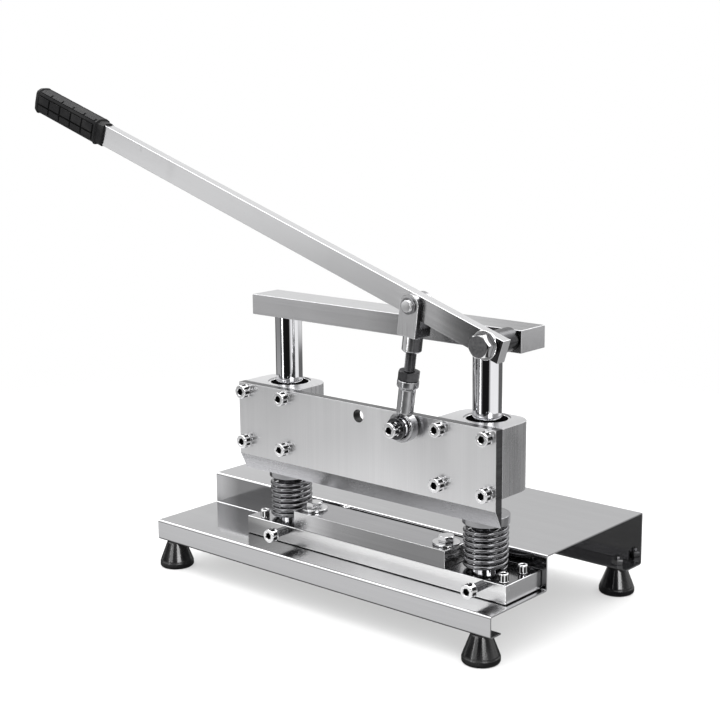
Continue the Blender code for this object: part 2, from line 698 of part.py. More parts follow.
def make_stop_screw(frame, bright):
    top = LOWER_BLADE_TOP + STOP_SCREW_RISE
    height = top - BAR_TOP - SEAT_GAP
    sizes = (STOP_SCREW_DIAMETER, STOP_SCREW_HEAD_HEIGHT, STOP_SCREW_HEAD_DIAMETER, height,
             STOP_SCREW_SOCKET, STOP_SCREW_SOCKET_DEPTH)
    screw = socket_screw("lower_blade_stop_screw", bright, frame, sizes, ROUND_TINY)
    x, y = stop_screw_place()
    screw.location = (x, y, BAR_TOP + SEAT_GAP)


def make_posts(frame, chrome):
    low, high = BAR_BOTTOM, BEAM_BOTTOM + POST_SOCKET_DEPTH
    radius = POST_DIAMETER / 2
    profile = [
        (0, low), (radius - POST_CHAMFER, low), (radius, low + POST_CHAMFER),
        (radius, high - POST_CHAMFER), (radius - POST_CHAMFER, high), (0, high),
    ]
    mesh = finish_mesh(turned(profile, ROUND_FINE), "guide_post")
    add_piece("guide_post_left", mesh, chrome, frame, (-POST_X, 0, 0))
    add_piece("guide_post_right", mesh, chrome, frame, (POST_X, 0, 0))


def make_crossbeam(frame, steel):
    beam_top = BEAM_BOTTOM + BEAM_HEIGHT
    body = block((BEAM_LEFT, BEAM_RIGHT), (BEAM_FRONT, BEAM_DEPTH / 2), (BEAM_BOTTOM, beam_top))
    beam = add_piece("crossbeam", finish_mesh(break_edges(body, BEAM_EDGE_BREAK), "crossbeam"), steel, frame)
    holes = []
    for x in (-POST_X, POST_X):
        socket = round_bar(
            POST_DIAMETER / 2 + SEAT_GAP, BEAM_BOTTOM - CUT_OVERRUN,
            BEAM_BOTTOM + POST_SOCKET_DEPTH + SEAT_GAP, ROUND_FINE,
        )
        holes.append((socket, at(x, 0, 0)))
    depth = PIVOT_GRIP_DEPTH + SEAT_GAP
    drill = round_bar(PIVOT_DIAMETER / 2 + SEAT_GAP, -depth, CUT_OVERRUN, ROUND_MID)
    holes.append((drill, along_y(PIVOT_X, BEAM_FRONT, PIVOT_HEIGHT)))
    cut(beam, "crossbeam_holes", holes)
    settled(beam)


def spring_points():
    """Centre line of a compression spring with one closed turn at each end."""
    radius = (SPRING_DIAMETER - SPRING_WIRE) / 2
    closed = SPRING_WIRE + SPRING_CLOSED_GAP
    rise = SPRING_LENGTH - SPRING_WIRE
    open_pitch = (rise - 2 * closed) / (SPRING_TURNS - 2)
    count = round(SPRING_TURNS * SPRING_POINTS_PER_TURN)
    points = []
    for step in range(count + 1):
        turns = SPRING_TURNS * step / count
        height = closed * min(turns, 1) + closed * max(turns - SPRING_TURNS + 1, 0)
        height += open_pitch * max(min(turns, SPRING_TURNS - 1) - 1, 0)
        angle = math.tau * turns
        points.append(Vector((radius * math.cos(angle), radius * math.sin(angle), height + SPRING_WIRE / 2)))
    return points


def least_gap_to_itself(points, wire):
    """Smallest clear distance between stretches of a tube at least half a turn apart."""
    apart = SPRING_POINTS_PER_TURN // 2
    least = min(
        (first - second).length
        for index, first in enumerate(points)
        for second in points[index + apart:]
    )
    return least - wire


def make_springs(frame, spring_steel):
    points = spring_points()
    print("spring least gap to itself, m:", round(least_gap_to_itself(points, SPRING_WIRE), 6))
    for side, x in (("left", -POST_X), ("right", POST_X)):
        curve = bpy.data.curves.new("spring_" + side, "CURVE")
        curve.dimensions = "3D"
        curve.twist_mode = "Z_UP"
        curve.bevel_depth = SPRING_WIRE / 2
        curve.bevel_resolution = 1
        curve.use_fill_caps = True
        line = curve.splines.new("POLY")
        line.points.add(len(points) - 1)
        for target, point in zip(line.points, points):
            target.co = (*point, 1)
        curve.materials.append(spring_steel)
        piece = bpy.data.objects.new("spring_" + side, curve)
        bpy.context.scene.collection.objects.link(piece)
        piece.parent = frame
        piece.location = (x, 0, SPRING_BOTTOM)


def make_caps(carriers, steel):
    cap = ring(CAP_DIAMETER, POST_DIAMETER + 2 * RUN_GAP, CAP_THICKNESS, ROUND_FINE, CAP_EDGE_BREAK)
    mesh = finish_mesh(cap, "spring_cap")
    for side, carrier in carriers.items():
        add_piece("spring_cap_" + side, mesh, steel, carrier)


def make_blade_plate(carriage, steel):
    """The plate's outline is drawn from the side, its bevel on the front, and pulled along X."""
    outline = [
        (0, 0), (0, PLATE_HEIGHT), (-PLATE_THICKNESS, PLATE_HEIGHT),
        (-PLATE_THICKNESS, BEVEL_HEIGHT), (-BEVEL_LAND, 0),
    ]
    bm = prism(outline, -PLATE_LENGTH / 2, PLATE_LENGTH / 2)
    to_world = Matrix(((0, 0, 1, 0), (1, 0, 0, PLATE_BACK), (0, 1, 0, 0), (0, 0, 0, 1)))
    bmesh.ops.transform(bm, matrix=to_world, verts=bm.verts)
    plate = add_piece("blade_plate", finish_mesh(bm, "blade_plate"), steel, carriage)
    low, high = -PLATE_THICKNESS - CUT_OVERRUN, CUT_OVERRUN
    radius = BLADE_SCREW_DIAMETER / 2 + SEAT_GAP
    holes = [
        (round_bar(radius, low, high, ROUND_TINY), along_y(x, PLATE_FRONT, z - EDGE_HEIGHT))
        for x, z in blade_screw_places()
    ]
    link_hole = round_bar(LINK_SCREW_DIAMETER / 2 + SEAT_GAP, low, high, ROUND_SMALL)
    holes.append((link_hole, along_y(LINK_SCREW_X, PLATE_FRONT, LINK_SCREW_HEIGHT - EDGE_HEIGHT)))
    spare_hole = round_bar(PLATE_HOLE_DIAMETER / 2, low, high, ROUND_MID)
    holes.append((spare_hole, along_y(0, PLATE_FRONT, PLATE_HEIGHT - PLATE_HOLE_DROP)))
    cut(plate, "blade_plate_holes", holes)
    settled(plate)


def blade_screw_places():
    half, rise = BLOCK_WIDTH / 2 - BLADE_SCREW_INSET, BLADE_SCREW_PITCH / 2
    middle = PLATE_TOP - BLADE_SCREW_MIDDLE_DROP
    places = []
    for post in (-POST_X, POST_X):
        for height in (middle - rise, middle + rise):
            places += [(post - half, height), (post + half, height)]
    return places


def make_blade_screws(carriage, bright):
    length = PLATE_THICKNESS + 2 * SEAT_GAP + BLADE_SCREW_DEPTH
    sizes = (BLADE_SCREW_DIAMETER, length, BLADE_SCREW_HEAD_DIAMETER, BLADE_SCREW_HEAD_HEIGHT,
             BLADE_SCREW_SOCKET, BLADE_SCREW_SOCKET_DEPTH)
    first = socket_screw("blade_screw_1", bright, carriage, sizes)
    for index, (x, z) in enumerate(blade_screw_places()):
        screw = first
        if index:
            screw = copy_piece("blade_screw_%d" % (index + 1), first, carriage, (0, 0, 0))
        screw.location = (x, PLATE_FRONT - SEAT_GAP, z - EDGE_HEIGHT)
        screw.rotation_euler = FACING_FRONT


def make_guide_blocks(carriage, aluminium, bush_steel):
    half = BLOCK_WIDTH / 2
    back = BLOCK_FRONT + BLOCK_DEPTH
    corner = min(BLOCK_CORNER_RADIUS, BLOCK_DEPTH / 2, half)
    outline = [(-half, BLOCK_FRONT), (half, BLOCK_FRONT)]
    outline += arc((half - corner, back - corner), corner, 0, 90, CORNER_STEPS)
    outline += arc((corner - half, back - corner), corner, 90, 180, CORNER_STEPS)
    bottom = BLOCK_BOTTOM - EDGE_HEIGHT
    bush_radius = BUSH_DIAMETER / 2
    bush_bottom, bush_top = BUSH_RECESS, BLOCK_HEIGHT - BUSH_RECESS
    bore = POST_DIAMETER / 2 + RUN_GAP
    profile = [(bore, bush_bottom), (bush_radius, bush_bottom), (bush_radius, bush_top), (bore, bush_top)]
    bush = finish_mesh(turned(profile, ROUND_FINE, looped=True), "linear_bush")
    for side, x in (("left", -POST_X), ("right", POST_X)):
        name = "guide_block_" + side
        mesh = finish_mesh(prism(outline, 0, BLOCK_HEIGHT), name)
        piece = add_piece(name, mesh, aluminium, carriage, (x, 0, bottom))
        low, high = -CUT_OVERRUN, BLOCK_HEIGHT + CUT_OVERRUN
        holes = [(round_bar(bush_radius + SEAT_GAP, low, high, ROUND_FINE), Matrix.Identity(4))]
        drill_radius = BLADE_SCREW_DIAMETER / 2 + SEAT_GAP
        for place, height in blade_screw_places():
            if place * x > 0:
                drill = round_bar(drill_radius, -BLADE_SCREW_DEPTH - SEAT_GAP, CUT_OVERRUN, ROUND_TINY)
                holes.append((drill, along_y(place - x, BLOCK_FRONT, height - BLOCK_BOTTOM)))
        cut(piece, name + "_holes", holes)
        settled(piece)
        add_piece("linear_bush_" + side, bush, bush_steel, carriage, (x, 0, bottom))


def make_pivot(frame, bright):
    """Washer, lever and spacer sit in a row on the pivot bolt, which is screwed into the beam."""
    under_head = LEVER_FRONT - 2 * SEAT_GAP - PIVOT_WASHER_THICKNESS
    length = BEAM_FRONT - under_head + PIVOT_GRIP_DEPTH
    bolt = hex_head("pivot_bolt", bright, frame, PIVOT_HEAD_WIDTH, PIVOT_HEAD_HEIGHT, PIVOT_DIAMETER, length)
    bolt.location = (PIVOT_X, under_head, PIVOT_HEIGHT)
    bolt.rotation_euler = FACING_FRONT
    bore = PIVOT_DIAMETER + 2 * RUN_GAP
    washer = finish_mesh(ring(PIVOT_WASHER_DIAMETER, bore, PIVOT_WASHER_THICKNESS), "pivot_washer")
    washer_place = (PIVOT_X, LEVER_FRONT - SEAT_GAP, PIVOT_HEIGHT)
    add_piece("pivot_washer", washer, bright, frame, washer_place, FACING_FRONT)
    spacer_length = BEAM_FRONT - LEVER_BACK - 2 * SEAT_GAP
    spacer = finish_mesh(ring(PIVOT_SPACER_DIAMETER, bore, spacer_length), "pivot_spacer")
    spacer_place = (PIVOT_X, BEAM_FRONT - SEAT_GAP, PIVOT_HEIGHT)
    add_piece("pivot_spacer", spacer, bright, frame, spacer_place, FACING_FRONT)


def make_lever(swing, steel, rubber):
    """Local -X runs along the lever to the grip, and the origin is the pivot."""
    half_height, half_thickness = LEVER_HEIGHT / 2, LEVER_THICKNESS / 2
    body = block((-LEVER_REACH, LEVER_TAIL), (-half_thickness, half_thickness), (-half_height, half_height))
    mesh = finish_mesh(break_edges(body, LEVER_EDGE_BREAK), "lever_bar")
    lever = add_piece("lever_bar", mesh, steel, swing)
    reach = half_thickness + CUT_OVERRUN
    pivot_hole = round_bar(PIVOT_DIAMETER / 2 + RUN_GAP, -reach, reach, ROUND_MID)
    pin_hole = round_bar(FORK_PIN_DIAMETER / 2 + RUN_GAP, -reach, reach, ROUND_MID)
    cut(lever, "lever_bar_holes", [(pivot_hole, along_y(0, 0, 0)), (pin_hole, along_y(-LEVER_ARM, 0, 0))])
    settled(lever)
    make_grip(swing, rubber)


def grip_ring(bm, along, grow_depth, grow_height):
    """One ring of the grip's section, at a place along the lever."""
    front = [(-share_y, share_z) for share_y, share_z in GRIP_SECTION_SHARES]
    back = [(-share_y, share_z) for share_y, share_z in reversed(front)]
    half_depth = GRIP_DEPTH / 2 - grow_depth
    half_height = GRIP_HEIGHT / 2 - grow_height
    return [
        bm.verts.new((along, share_y * half_depth, share_z * half_height))
        for share_y, share_z in front + back
    ]


def make_grip(swing, rubber):
    """A rubber sleeve closed at its far end, with raised pads between two plain rims."""
    bm = bmesh.new()
    near = GRIP_LENGTH - GRIP_END
    pads_start = -GRIP_END + GRIP_END_ROUND + GRIP_RIM
    pads_end = near - GRIP_COLLAR_LENGTH - GRIP_RIM
    collar_depth = GRIP_DEPTH / 2 - LEVER_THICKNESS / 2 - GRIP_COLLAR_WALL
    collar_height = GRIP_HEIGHT / 2 - LEVER_HEIGHT / 2 - GRIP_COLLAR_WALL
    stations = [
        (-GRIP_END, GRIP_END_ROUND, GRIP_END_ROUND),
        (-GRIP_END + GRIP_END_ROUND / 3, GRIP_END_ROUND / 3, GRIP_END_ROUND / 3),
        (-GRIP_END + GRIP_END_ROUND, 0, 0),
    ]
    columns = [
        (pads_start + (pads_end - pads_start) * column / GRIP_PAD_COLUMNS, 0, 0)
        for column in range(GRIP_PAD_COLUMNS + 1)
    ]
    collar_start = near - GRIP_COLLAR_LENGTH
    stations += columns
    stations += [(collar_start, 0, 0), (collar_start + GRIP_GROOVE, collar_depth, collar_height)]
    stations += [(near, collar_depth, collar_height)]
    rings = [grip_ring(bm, *station) for station in stations]
    bm.faces.new(rings[0][::-1])
    bm.faces.new(rings[-1])
    pads = []
    pad_rows = (2, 3, 5, 7, 8, 11)
    for index, (first, second) in enumerate(zip(rings, rings[1:])):
        count = len(first)
        for corner in range(count):
            turn = (corner + 1) % count
            face = bm.faces.new((first[corner], first[turn], second[turn], second[corner]))
            if 3 <= index < 3 + GRIP_PAD_COLUMNS and corner in pad_rows:
                pads.append(face)
    bmesh.ops.recalc_face_normals(bm, faces=bm.faces)
    bmesh.ops.inset_individual(bm, faces=pads, thickness=GRIP_GROOVE / 2, depth=0)
    bmesh.ops.inset_individual(bm, faces=pads, thickness=GRIP_PAD_RISE / 2, depth=GRIP_PAD_RISE)
    grip = add_piece("grip", finish_mesh(bm, "grip"), rubber, swing)
    half_depth = LEVER_THICKNESS / 2 + SEAT_GAP
    half_height = LEVER_HEIGHT / 2 + SEAT_GAP
    hollow = block(
        (-LEVER_REACH - SEAT_GAP, near + CUT_OVERRUN), (-half_depth, half_depth), (-half_height, half_height),
    )
    cut(grip, "grip_hollow", [(hollow, Matrix.Identity(4))])
    settled(grip)


def make_fork(link, bright):
    """Local -Z runs down the link, and the origin is the fork pin."""
    half = FORK_WIDTH / 2
    outline = [(-half, -FORK_BODY_DROP), (half, -FORK_BODY_DROP)]
    outline += arc((0, 0), half, 0, 180, 2 * CORNER_STEPS)
    bm = prism(outline, -half, half)
    bmesh.ops.transform(bm, matrix=FRONTWARD, verts=bm.verts)
    fork = add_piece("fork", finish_mesh(bm, "fork"), bright, link)
    neck_bottom = -FORK_BODY_DROP - FORK_NECK_LENGTH
    neck_radius = FORK_NECK_DIAMETER / 2
    neck = turned(
        [(0, neck_bottom), (neck_radius - FORK_NECK_CHAMFER, neck_bottom),
         (neck_radius, neck_bottom + FORK_NECK_CHAMFER), (neck_radius, CUT_OVERRUN - FORK_BODY_DROP),
         (0, CUT_OVERRUN - FORK_BODY_DROP)],
        ROUND_MID,
    )
    cut(fork, "fork_neck", [(neck, Matrix.Identity(4))], "UNION")
    slot_half = LEVER_THICKNESS / 2 + FORK_EAR_GAP
    beyond = half + CUT_OVERRUN
    slot = block((-beyond, beyond), (-slot_half, slot_half), (-FORK_SLOT_DROP, beyond))
    pin_hole = round_bar(FORK_PIN_DIAMETER / 2 + RUN_GAP, -beyond, beyond, ROUND_MID)
    stud_top = neck_bottom + STUD_HOLD + SEAT_GAP
    stud_hole = round_bar(STUD_DIAMETER / 2 + SEAT_GAP, neck_bottom - CUT_OVERRUN, stud_top, ROUND_SMALL)
    cut(fork, "fork_slot", [(slot, Matrix.Identity(4))])
    cut(fork, "fork_holes", [(pin_hole, along_y(0, 0, 0)), (stud_hole, Matrix.Identity(4))])
    settled(fork)


def make_fork_pin(link, bright):
    """The head bears on the back ear, and a push-on clip holds the front end."""
    half = FORK_WIDTH / 2
    front = half + FORK_PIN_PROUD
    back = -half - SEAT_GAP
    radius = FORK_PIN_DIAMETER / 2
    profile = [
        (0, back - FORK_PIN_HEAD_HEIGHT), (FORK_PIN_HEAD_DIAMETER / 2, back - FORK_PIN_HEAD_HEIGHT),
        (FORK_PIN_HEAD_DIAMETER / 2, back), (radius, back), (radius, front - HEAD_BREAK),
        (radius - HEAD_BREAK, front), (0, front),
    ]
    pin = finish_mesh(turned(profile, ROUND_MID), "fork_pin")
    add_piece("fork_pin", pin, bright, link, (0, 0, 0), FACING_FRONT)
    clip = ring(FORK_CLIP_DIAMETER, FORK_PIN_DIAMETER + 2 * SEAT_GAP, FORK_CLIP_THICKNESS)
    clip_place = (0, -half - SEAT_GAP, 0)
    add_piece("fork_clip", finish_mesh(clip, "fork_clip"), bright, link, clip_place, FACING_FRONT)


def make_rod_end(link, bright, ball_steel):
    """Ring round the ball, shank and collar, then the lock nut and the stud above them."""
    ring_half = ROD_END_RING_THICKNESS / 2
    ring_radius = ROD_END_RING_DIAMETER / 2
    profile = [
        (0, -ring_half), (ring_radius - ROD_END_CHAMFER, -ring_half),
        (ring_radius, ROD_END_CHAMFER - ring_half), (ring_radius, ring_half - ROD_END_CHAMFER),
        (ring_radius - ROD_END_CHAMFER, ring_half), (0, ring_half),
    ]
    bm = turned(profile, ROUND_MID)
    bmesh.ops.transform(bm, matrix=FRONTWARD, verts=bm.verts)
    center = (0, 0, -LINK_LENGTH)
    housing = add_piece("rod_end", finish_mesh(bm, "rod_end"), bright, link, center)
    collar_radius = ROD_END_COLLAR_DIAMETER / 2
    shank_radius = ROD_END_SHANK_DIAMETER / 2
    collar_bottom = ROD_END_REACH - ROD_END_COLLAR_HEIGHT
    step = collar_radius - shank_radius
    shank = turned(
        [(0, ring_radius / 2), (ring_half, ring_radius / 2), (shank_radius, ring_radius),
         (shank_radius, collar_bottom - step), (collar_radius, collar_bottom),
         (collar_radius, ROD_END_REACH), (0, ROD_END_REACH)],
        ROUND_MID,
    )
    cut(housing, "rod_end_shank", [(shank, Matrix.Identity(4))], "UNION")
    race = BALL_DIAMETER / 2 + RUN_GAP
    beyond = ring_half + CUT_OVERRUN
    stud_bottom = ROD_END_REACH - STUD_HOLD - SEAT_GAP
    stud_hole = round_bar(STUD_DIAMETER / 2 + SEAT_GAP, stud_bottom, ROD_END_REACH + CUT_OVERRUN, ROUND_SMALL)
    cut(housing, "rod_end_bores",
        [(round_bar(race, -beyond, beyond, ROUND_FINE), along_y(0, 0, 0)), (stud_hole, Matrix.Identity(4))])
    settled(housing)
    make_ball(link, ball_steel, center)
    stud_low = ROD_END_REACH - LINK_LENGTH - STUD_HOLD
    stud_high = -FORK_BODY_DROP - FORK_NECK_LENGTH + STUD_HOLD
    stud = round_bar(STUD_DIAMETER / 2, stud_low, stud_high, ROUND_SMALL)
    add_piece("link_stud", finish_mesh(stud, "link_stud"), bright, link)
    nut = hex_nut("lock_nut", bright, link, LOCK_NUT_WIDTH, LOCK_NUT_HEIGHT, STUD_DIAMETER + 2 * SEAT_GAP)
    nut.location = (0, 0, ROD_END_REACH - LINK_LENGTH + SEAT_GAP)


def make_ball(link, ball_steel, center):
    """The ball's bore is wider than the link screw: this pivot stays open."""
    radius = BALL_DIAMETER / 2
    half = BALL_WIDTH / 2
    bore = LINK_SCREW_DIAMETER / 2 + BALL_PIVOT_CLEARANCE
    limit = math.degrees(math.asin(half / radius))
    profile = [(bore, -half)] + arc((0, 0), radius, -limit, limit, CORNER_STEPS) + [(bore, half)]
    mesh = finish_mesh(turned(profile, ROUND_MID, looped=True), "rod_end_ball")
    add_piece("rod_end_ball", mesh, ball_steel, link, center, FACING_FRONT)


def make_link_screw(carriage, bright):
    """Screw, washer and spacer that hold the ball to the blade plate."""
    height = LINK_SCREW_HEIGHT - EDGE_HEIGHT
    washer_back = BALL_BACK - BALL_WIDTH - SEAT_GAP
    under_head = washer_back - LINK_WASHER_THICKNESS - SEAT_GAP
    length = PLATE_BACK - under_head - SEAT_GAP
    sizes = (LINK_SCREW_DIAMETER, length, LINK_SCREW_HEAD_DIAMETER, LINK_SCREW_HEAD_HEIGHT,
             LINK_SCREW_SOCKET, LINK_SCREW_SOCKET_DEPTH)
    screw = socket_screw("link_screw", bright, carriage, sizes)
    screw.location = (LINK_SCREW_X, under_head, height)
    screw.rotation_euler = FACING_FRONT
    bore = LINK_SCREW_DIAMETER + 2 * SEAT_GAP
    washer = finish_mesh(ring(LINK_WASHER_DIAMETER, bore, LINK_WASHER_THICKNESS), "link_washer")
    add_piece("link_washer", washer, bright, carriage, (LINK_SCREW_X, washer_back, height), FACING_FRONT)
    spacer = finish_mesh(ring(LINK_SPACER_DIAMETER, bore, LINK_SPACER_THICKNESS), "link_spacer")
    add_piece("link_spacer", spacer, bright, carriage,
              (LINK_SCREW_X, PLATE_FRONT - SEAT_GAP, height), FACING_FRONT)


def build():
    clear_scene()
    stainless = make_material("stainless_sheet", (0.62, 0.63, 0.65), 1.0, 0.18)
    brushed = make_material("brushed_bar", (0.70, 0.70, 0.71), 1.0, 0.32)
    satin = make_material("satin_blade", (0.76, 0.76, 0.77), 1.0, 0.38)
    bright = make_material("bright_fastener", (0.66, 0.66, 0.67), 1.0, 0.22)
    chrome = make_material("chromed_post", (0.80, 0.80, 0.82), 1.0, 0.06)
    spring_steel = make_material("spring_steel", (0.20, 0.20, 0.21), 1.0, 0.35)
    aluminium = make_material("guide_block", (0.72, 0.73, 0.74), 1.0, 0.40)
    bush_steel = make_material("bush", (0.06, 0.06, 0.065), 0.4, 0.45)
    rubber = make_material("black_rubber", (0.018, 0.018, 0.020), 0.0, 0.50)

    center_x = -(OUTLINE_LEFT + OUTLINE_RIGHT) / 2
    center_y = -(OUTLINE_FRONT + OUTLINE_BACK) / 2
    frame = add_empty("frame", None, (center_x, center_y, 0))
    carriage = add_empty("blade_carriage", frame, (0, 0, EDGE_HEIGHT))
    swing = add_empty("lever_pivot", frame, (PIVOT_X, LINK_PLANE, PIVOT_HEIGHT), (0, LEVER_REST, 0))
    link = add_empty("link_pivot", swing, (-LEVER_ARM, 0, 0), (0, LINK_LEAN - LEVER_REST, 0))
    caps = {
        "left": add_empty("cap_guide_left", frame, (-POST_X, 0, CAP_BOTTOM)),
        "right": add_empty("cap_guide_right", frame, (POST_X, 0, CAP_BOTTOM)),
    }

    make_base_sheet(frame, stainless)
    make_feet(frame, rubber, bright)
    make_base_bar(frame, brushed)
    make_bar_screws(frame, bright)
    make_clamp_screws(frame, bright)
    make_lower_blade(frame, brushed, bright)
    make_stop_screw(frame, bright)
    make_posts(frame, chrome)
    make_crossbeam(frame, brushed)
    make_springs(frame, spring_steel)
    make_caps(caps, brushed)
    make_blade_plate(carriage, satin)
    make_blade_screws(carriage, bright)
    make_guide_blocks(carriage, aluminium, bush_steel)
    make_pivot(frame, bright)
    make_lever(swing, brushed, rubber)
    make_fork(link, bright)
    make_fork_pin(link, bright)
    make_rod_end(link, bright, bright)
    make_link_screw(carriage, bright)


build()
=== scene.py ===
# %% [markdown]
# # A guillotine cutter worked by a hand lever
#
# The imported CAD model is the rigid frame of this lesson. Its parts already stand in metres in
# their right places, but their round sides are coarse and their colours are plain. The cells
# below rebuild the flat bars with broken edges, replace the round and moulded parts with finer
# ones at the same places, and give each surface a finish made of shader nodes.

# %% The frame and the tools
import json
import math

import bmesh
import bpy
from mathutils import Matrix, Vector


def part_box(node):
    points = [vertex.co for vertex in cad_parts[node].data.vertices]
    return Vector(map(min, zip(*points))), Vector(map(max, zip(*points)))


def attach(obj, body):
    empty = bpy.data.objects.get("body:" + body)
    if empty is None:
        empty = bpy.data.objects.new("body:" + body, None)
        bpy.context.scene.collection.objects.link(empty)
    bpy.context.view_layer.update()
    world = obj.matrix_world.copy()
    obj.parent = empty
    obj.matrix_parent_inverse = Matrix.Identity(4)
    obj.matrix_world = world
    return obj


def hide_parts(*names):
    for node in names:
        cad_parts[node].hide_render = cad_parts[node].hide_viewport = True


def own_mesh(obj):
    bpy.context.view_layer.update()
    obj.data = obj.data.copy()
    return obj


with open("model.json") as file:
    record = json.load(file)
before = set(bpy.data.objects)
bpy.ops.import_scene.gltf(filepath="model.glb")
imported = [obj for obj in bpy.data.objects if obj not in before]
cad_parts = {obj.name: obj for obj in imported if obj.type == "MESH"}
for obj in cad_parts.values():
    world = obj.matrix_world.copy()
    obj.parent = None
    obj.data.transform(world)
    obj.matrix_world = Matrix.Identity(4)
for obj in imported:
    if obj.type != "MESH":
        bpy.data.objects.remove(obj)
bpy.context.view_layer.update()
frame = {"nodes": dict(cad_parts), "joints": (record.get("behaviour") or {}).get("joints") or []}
print("frame nodes:", len(frame["nodes"]))

# %% [markdown]
# ## Where things are
#
# Every place comes from the frame. The machine has a middle point between its two posts, the
# lever and the link each have a pivot, and a matrix turns local drawings of a part into the
# frame: local +Z is pulled to the front for what faces the operator, and the lever and link
# get the angle at which they rest. Sizes are written in millimetres and places in metres.

# %% Places and directions
MM = 0.001
SIDES = ("left", "right")
CORNERS = ("front_left", "front_right", "rear_left", "rear_right")


def box_mm(name):
    """The two corners of a CAD node's box, in millimetres."""
    return [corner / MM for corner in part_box(name)]


def middle(name):
    low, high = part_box(name)
    return (low + high) / 2


def at(x, y, z):
    return Matrix.Translation((x, y, z))


FRONTWARD = Matrix.Rotation(math.radians(90), 4, "X")
SECTION_TO_X = Matrix(((0, 0, 1, 0), (1, 0, 0, 0), (0, 1, 0, 0), (0, 0, 0, 1)))
post_places = {side: middle("guide_post_" + side) for side in SIDES}
foot_places = {corner: middle("foot_" + corner) for corner in CORNERS}
centre_x = (post_places["left"].x + post_places["right"].x) / 2
centre_y = post_places["left"].y
joints = {joint["name"]: joint for joint in frame["joints"]}
pivot = Vector(joints["lever_hinge"]["pos_m"])
fork_pin = Vector(joints["link_hinge"]["pos_m"])
link_low = middle("link_screw")
lever_angle = math.atan2(fork_pin.z - pivot.z, pivot.x - fork_pin.x)
link_angle = math.atan2(fork_pin.x - link_low.x, fork_pin.z - link_low.z)
link_length = math.hypot(fork_pin.x - link_low.x, fork_pin.z - link_low.z)
on_lever = Matrix.Translation(pivot) @ Matrix.Rotation(lever_angle, 4, "Y")
on_link = Matrix.Translation(fork_pin) @ Matrix.Rotation(link_angle, 4, "Y")
on_ball = on_link @ at(0, 0, -link_length)
print("lever rests at", round(math.degrees(lever_angle), 1), "degrees")

# %% [markdown]
# ## Small helpers for shapes
#
# Turned parts such as posts, washers and feet come from one profile spun round an axis. Its
# corners are softened first, because a real turned edge always catches a line of light. Cut
# parts come from Boolean operations between simple solids. Each helper works in millimetres
# and returns a bmesh, and `add` bakes the place into the mesh and hands the piece to its body.


# %% Shape helpers
def soften(points, radius, steps=3):
    """Round the inner corners of a polyline."""
    points = [Vector(point) for point in points]
    line = [points[0]]
    for before, corner, after in zip(points, points[1:], points[2:]):
        inward, outward = before - corner, after - corner
        reach = min(radius, inward.length * 0.45, outward.length * 0.45)
        start = corner + inward.normalized() * reach
        end = corner + outward.normalized() * reach
        for step in range(steps + 1):
            share = step / steps
            line.append(start * (1 - share) ** 2 + corner * 2 * share * (1 - share) + end * share**2)
    return line + [points[-1]]


def face_out(shape):
    bmesh.ops.recalc_face_normals(shape, faces=shape.faces)
    return shape


def lathe(profile, sides=96, bored=False):
    """Spin (radius, height) points round Z. A bored profile is closed on itself."""
    shape = bmesh.new()
    points = [shape.verts.new((radius * MM, 0, height * MM)) for radius, height in profile]
    edges = [shape.edges.new(pair) for pair in zip(points, points[1:])]
    if bored:
        edges.append(shape.edges.new((points[-1], points[0])))
    bmesh.ops.spin(shape, geom=points + edges, cent=(0, 0, 0), axis=(0, 0, 1), dvec=(0, 0, 0),
                   angle=math.tau, steps=sides, use_merge=True, use_duplicate=False)
    bmesh.ops.remove_doubles(shape, verts=shape.verts, dist=1e-7)
    return face_out(shape)


def tube(outer, inner, low, high, edge=0.4, sides=96):
    """A ring with softened edges."""
    half = (outer + inner) / 4
    outside = [(half, low), (outer / 2, low), (outer / 2, high), (half, high)]
    inside = [(half, high), (inner / 2, high), (inner / 2, low), (half, low)]
    return lathe(soften(outside, edge) + soften(inside, edge)[1:-1], sides, bored=True)


def rod(diameter, low, high, edge=0.0, sides=96):
    profile = [(0, low), (diameter / 2, low), (diameter / 2, high), (0, high)]
    return lathe(soften(profile, edge) if edge else profile, sides)


def prism(outline, low, high):
    """Stand an outline of (x, y) points up between two heights."""
    shape = bmesh.new()
    face = shape.faces.new([shape.verts.new((x * MM, y * MM, low * MM)) for x, y in outline])
    grown = bmesh.ops.extrude_face_region(shape, geom=[face])["geom"]
    tops = [item for item in grown if isinstance(item, bmesh.types.BMVert)]
    bmesh.ops.translate(shape, verts=tops, vec=(0, 0, (high - low) * MM))
    return face_out(shape)


def block(x_range, y_range, z_range):
    (x0, x1), (y0, y1) = x_range, y_range
    return prism([(x0, y0), (x1, y0), (x1, y1), (x0, y1)], *z_range)


def arc(centre, radius, start, end, steps):
    turns = [math.radians(start + (end - start) * step / steps) for step in range(steps + 1)]
    return [(centre[0] + radius * math.cos(turn), centre[1] + radius * math.sin(turn)) for turn in turns]


def hexagon(flats):
    return arc((0, 0), flats / math.sqrt(3), 0, 300, 5)


def break_edges(shape, width, steps=2, least=50, spare=lambda edge: False):
    """Bevel the edges that turn more than an angle, apart from those to be spared."""
    sharp = [edge for edge in shape.edges
             if edge.calc_face_angle(0) > math.radians(least) and not spare(edge)]
    bmesh.ops.bevel(shape, geom=sharp, offset=width * MM, segments=steps, profile=0.5,
                    affect="EDGES", clamp_overlap=True)
    return shape


def moved(shape, matrix):
    bmesh.ops.transform(shape, matrix=matrix, verts=shape.verts)
    return shape


def new_object(name, data):
    item = bpy.data.objects.new(name, data)
    bpy.context.scene.collection.objects.link(item)
    return item


def modified_mesh(item, name):
    """The mesh that an object's modifiers make. The object is used up by it."""
    depsgraph = bpy.context.evaluated_depsgraph_get()
    mesh = bpy.data.meshes.new_from_object(item.evaluated_get(depsgraph))
    mesh.name = name
    bpy.data.objects.remove(item, do_unlink=True)
    return mesh


